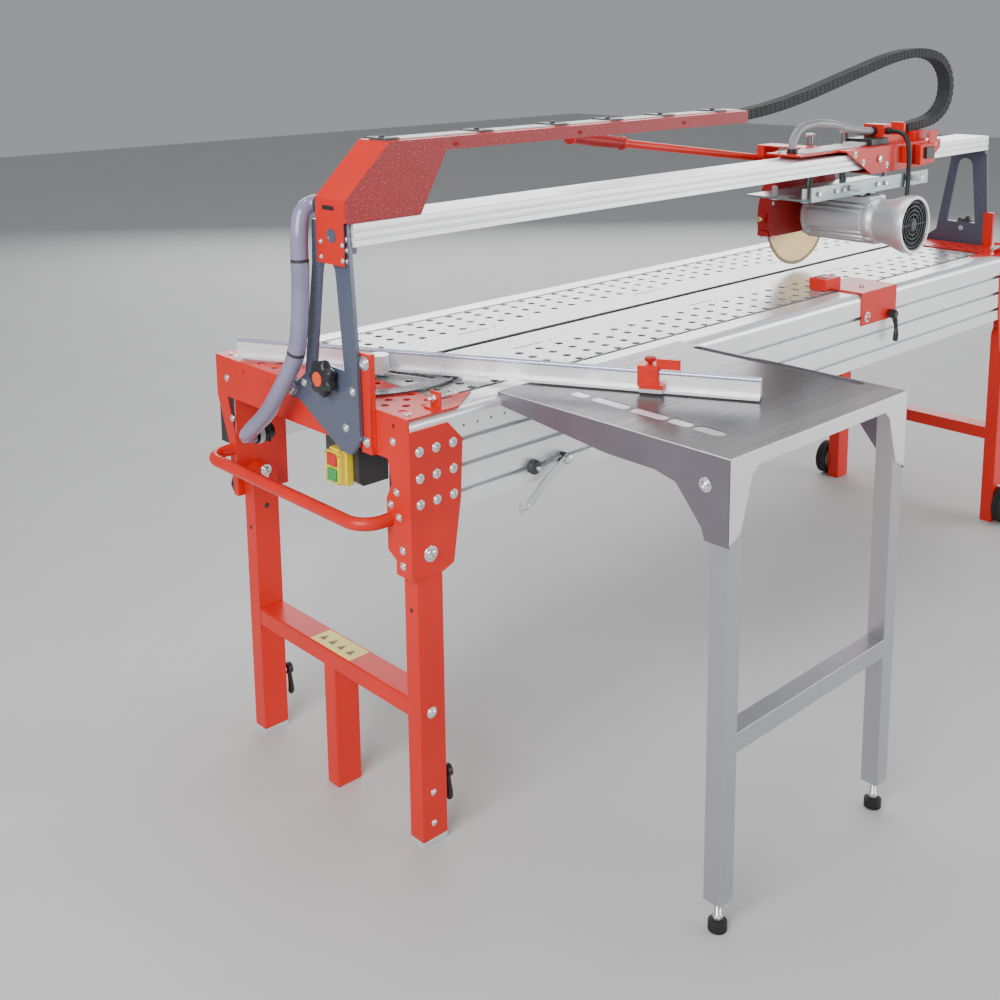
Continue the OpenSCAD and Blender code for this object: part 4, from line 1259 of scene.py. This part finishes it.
def bar_stop_details():
    """A thumb screw and a cheek on the bar's stop."""
    shape = Shape()
    shape.turned([(5, 0), (5, 3), (10, 4), (11, 6), (11, 11), (8, 13)], on_bar(583, 4, 906), "z",
                 0, 16)
    bar_solid(shape, (565, 601), (-20.8, -19), (868, 902), 1)
    bar_solid(shape, (570, 614), (-36, -19), (859, 866), 2)
    shape.piece("bar_stop_screw", "mitre_stop", ["red_dark", "red", "grey"], 0.5)


def side_stop_details():
    """The side stop's bolts and the shaped clamp lever."""
    face = -329.5
    shape = Shape()
    shape.bolt((378, face, 787), "y", 10, -1, 0)
    shape.bolt((430, -280, 853), "z", 7, 1, 0)
    shape.bolt((356, -215, 879), "z", 7, 1, 0)
    shape.piece("side_stop_bolts", "side_stop", ["zinc"])
    lever = Shape()
    pivot = middle("side_stop_lever")
    top = span("side_stop_lever")[1].z - 11
    lever.turned([(9, -1.2), (12, -3), (12, -18), (9, -21)], (pivot.x, face, top), "y", 0, 20)
    grip = [(pivot.x, face - 14, top - 4), (pivot.x + 4, face - 17, top - 24),
            (pivot.x + 3, face - 20, top - 48), (pivot.x, face - 20, top - 72)]
    widths = (7, 5.5, 7, 4.5)
    lever.tube(smooth_path(grip, 5), lambda i: widths[min(3, i // 5)], 0, 16)
    lever.piece("side_stop_grip", "side_stop_lever", ["black"], 0,
                ["side_stop_lever"])


def hook():
    """The support hook: a tapered steel arm with a curled end, on a stud with a spring."""
    low, high = span("hook_lever")
    pivot = Vector((high.x - 11, low.y, GROOVES[0]))
    rail = span("side_rail_near")[0].y
    shape = Shape()
    arm = [(-2, 12), (10, 2), (-62, -44), (-94, -70), (-116, -74), (-116, -60), (-100, -50),
           (-60, -20)]
    outline = [(pivot.x + dx, pivot.z + dz) for dx, dz in arm]
    shape.prism(outline, rail - 19, rail - 16, "y")
    curl = [(-104, -66), (-114, -76), (-126, -76), (-129, -66), (-127, -58)]
    points = smooth_path([(pivot.x + dx, rail - 17.5, pivot.z + dz) for dx, dz in curl], 5)
    shape.tube(points, 3.2, 0, 12)
    shape.turned([(10, -0.6), (12, -2), (12, -15), (9, -17)], (pivot.x, rail, pivot.z), "y", 1, 20)
    shape.turned([(7, -19), (9, -20), (9, -26), (6, -27)], (pivot.x, rail, pivot.z), "y", 0, 12)
    shape.piece("hook_arm", "hook", ["zinc", "black"], 0.4, ["hook_lever"], 50)
    knob = Shape()
    knob.turned([(12, -0.5), (15, -3), (15, -14), (10, -18)], (-828, rail, 690), "y", 0, 10)
    knob.turned([(5, -18), (5, -24)], (-828, rail, 690), "y", 1, 14)
    knob.piece("groove_knob", "root", ["box", "zinc"], 0.8)
    spring = Shape()
    coil = [(-818 + 56 * k / 96, rail - 12 - 5 * math.cos(math.tau * k / 8),
             690 + 10 * k / 96 + 5 * math.sin(math.tau * k / 8)) for k in range(97)]
    spring.tube(coil, 0.9, 0, 6)
    spring.piece("hook_spring", "root", ["spring"])


def rail_marks():
    """A row of small studs along the near rail's upper band."""
    shape = Shape()
    face = RAIL_LOW.y
    for k in range(9):
        x = -1000 + k * 34
        shape.turned([(2.4, 0), (2.4, -0.6), (1.8, -0.9)], (x, face, 812), "y", 0, 10)
    shape.piece("rail_studs", "root", ["dark_steel"])


# ---------------------------------------------------------------- side table

def side_table():
    """The folded steel table: a slotted dark top, rolled edges and front lip in painted light, and
    cut-away skirts in painted shade.
    """
    low, high = span("side_table_top")
    top = high.z
    dashes = ((-444, 44), (-519, 90), (-611, 84), (-681, 54), (-743, 68))
    holes = [oblong(low.x + 92, y, 26, length - 4) for y, length in dashes]
    holes.append(oblong(high.x - 19, -573, 20, 404))
    outline = [(low.x, low.y), (high.x, low.y), (high.x, high.y), (low.x, high.y)]
    plate("side_table_sheet", outline, holes, top - 1.6, top, "z", "side_table", ["side_top"],
          0.4, ["side_table_top"])
    # The side skirts take the steel's dark copy: painted shade.
    skirts = Shape()
    side = [(high.y, top - 1.2), (high.y, top - 26), (-590, top - 55), (-700, top - 56),
            (-745, top - 66), (-800, top - 130), (-806, top - 150), (low.y, top - 150),
            (low.y, top - 1.2)]
    for x in (low.x, high.x - 2):
        skirts.prism(side, x, x + 2, "x", 0)
    skirts.piece("side_table_skirts", "side_table", ["side_steel"], 0.5)
    # The front lip, back strip, rolled edges and the strips under the slots take the steel's
    # near-white copy: painted light.
    front = Shape()
    lip = [(low.x, top - 1.2), (low.x, top - 146), (low.x + 30, top - 132), (low.x + 58, top - 40),
           (low.x + 76, top - 26), (high.x - 76, top - 26), (high.x - 58, top - 40),
           (high.x - 30, top - 132), (high.x, top - 146), (high.x, top - 1.2)]
    front.prism(lip, low.y - 0.1, low.y + 2, "y", 0)
    front.box((low.x, high.y - 2, top - 26), (high.x, high.y, top - 1.2), 0)
    front.box((low.x - 0.2, low.y, top - 1.4), (low.x + 1.6, high.y, top + 0.1), 0)
    front.box((low.x, low.y - 0.2, top - 1.4), (high.x, low.y + 1.6, top + 0.1), 0)
    for y, length in dashes[:4]:
        front.box((low.x + 81, y - length / 2 + 3, top - 1.7),
                  (low.x + 103, y + length / 2 - 3, top - 0.4), 0)
    front.piece("side_table_edges", "side_table", ["painted_light_side_edge", "grey"], 0.4)
    bolts = Shape()
    for x, out in ((low.x, -1), (high.x, 1)):
        bolts.bolt((x, -807, 801), "x", 9, out)
    bolts.box((low.x + 45, high.y - 3, top - 70), (low.x + 75, high.y, top - 24), 0)
    bolts.box((high.x - 75, high.y - 3, top - 70), (high.x - 45, high.y, top - 24), 0)
    bolts.piece("side_table_bolts", "side_table", ["zinc"])


def side_feet():
    """Ribbed rubber feet on threaded studs with lock nuts."""
    for node in ("side_foot_front", "side_foot_rear"):
        centre = middle(node)
        spot = (centre.x, centre.y, 0)
        shape = Shape()
        rubber = [(13, 0)]
        for k in range(3):
            rubber += [(16.8, 1 + k * 6), (16.8, 5 + k * 6), (15, 6 + k * 6)]
        rubber += [(9, 20)]
        shape.turned(rubber, spot, "z", 0, 32)
        thread = [(5.6, 20)]
        for k in range(56):
            thread += [(5.9, 21 + k * 1.9), (5.2, 22 + k * 1.9)]
        shape.turned(thread, spot, "z", 1, 16)
        shape.hex_nut((centre.x, centre.y, 22), "z", 10, 7, 1, 1)
        shape.hex_nut((centre.x, centre.y, 50), "z", 10, 6, 1, 1)
        shape.piece(f"{node}_rubber", node, ["rubber", "zinc"], 0, [node])


dress_nodes()
make_camera()
make_room()
for side_sign in SIDES:
    table_panel(side_sign)
rail_end_caps()
frame_bolts()
for end_sign in ENDS:
    tongue_stop(end_sign)
    post_fasteners(end_sign)
far_leg_knobs()
protractor_details()
upright_details()
switch_cover()
conduit()
crossbar_label()
for end_sign in ENDS:
    leg_fasteners(end_sign)
foot_tips()
clamp_levers()
lock_pin()
for side_sign in SIDES:
    wheel(side_sign)
for end_sign in ENDS:
    tilt_knob(end_sign)
arm_details()
drag_chain()
carriage_details()
rollers()
feed_handle()
hoses()
finned_motor()
fan_cowl()
fan_grille()
cooling_fan()
bracket_details()
guard_details()
segmented_blade()
bar_details()
bar_stop_details()
side_stop_details()
hook()
rail_marks()
side_table()
side_feet()
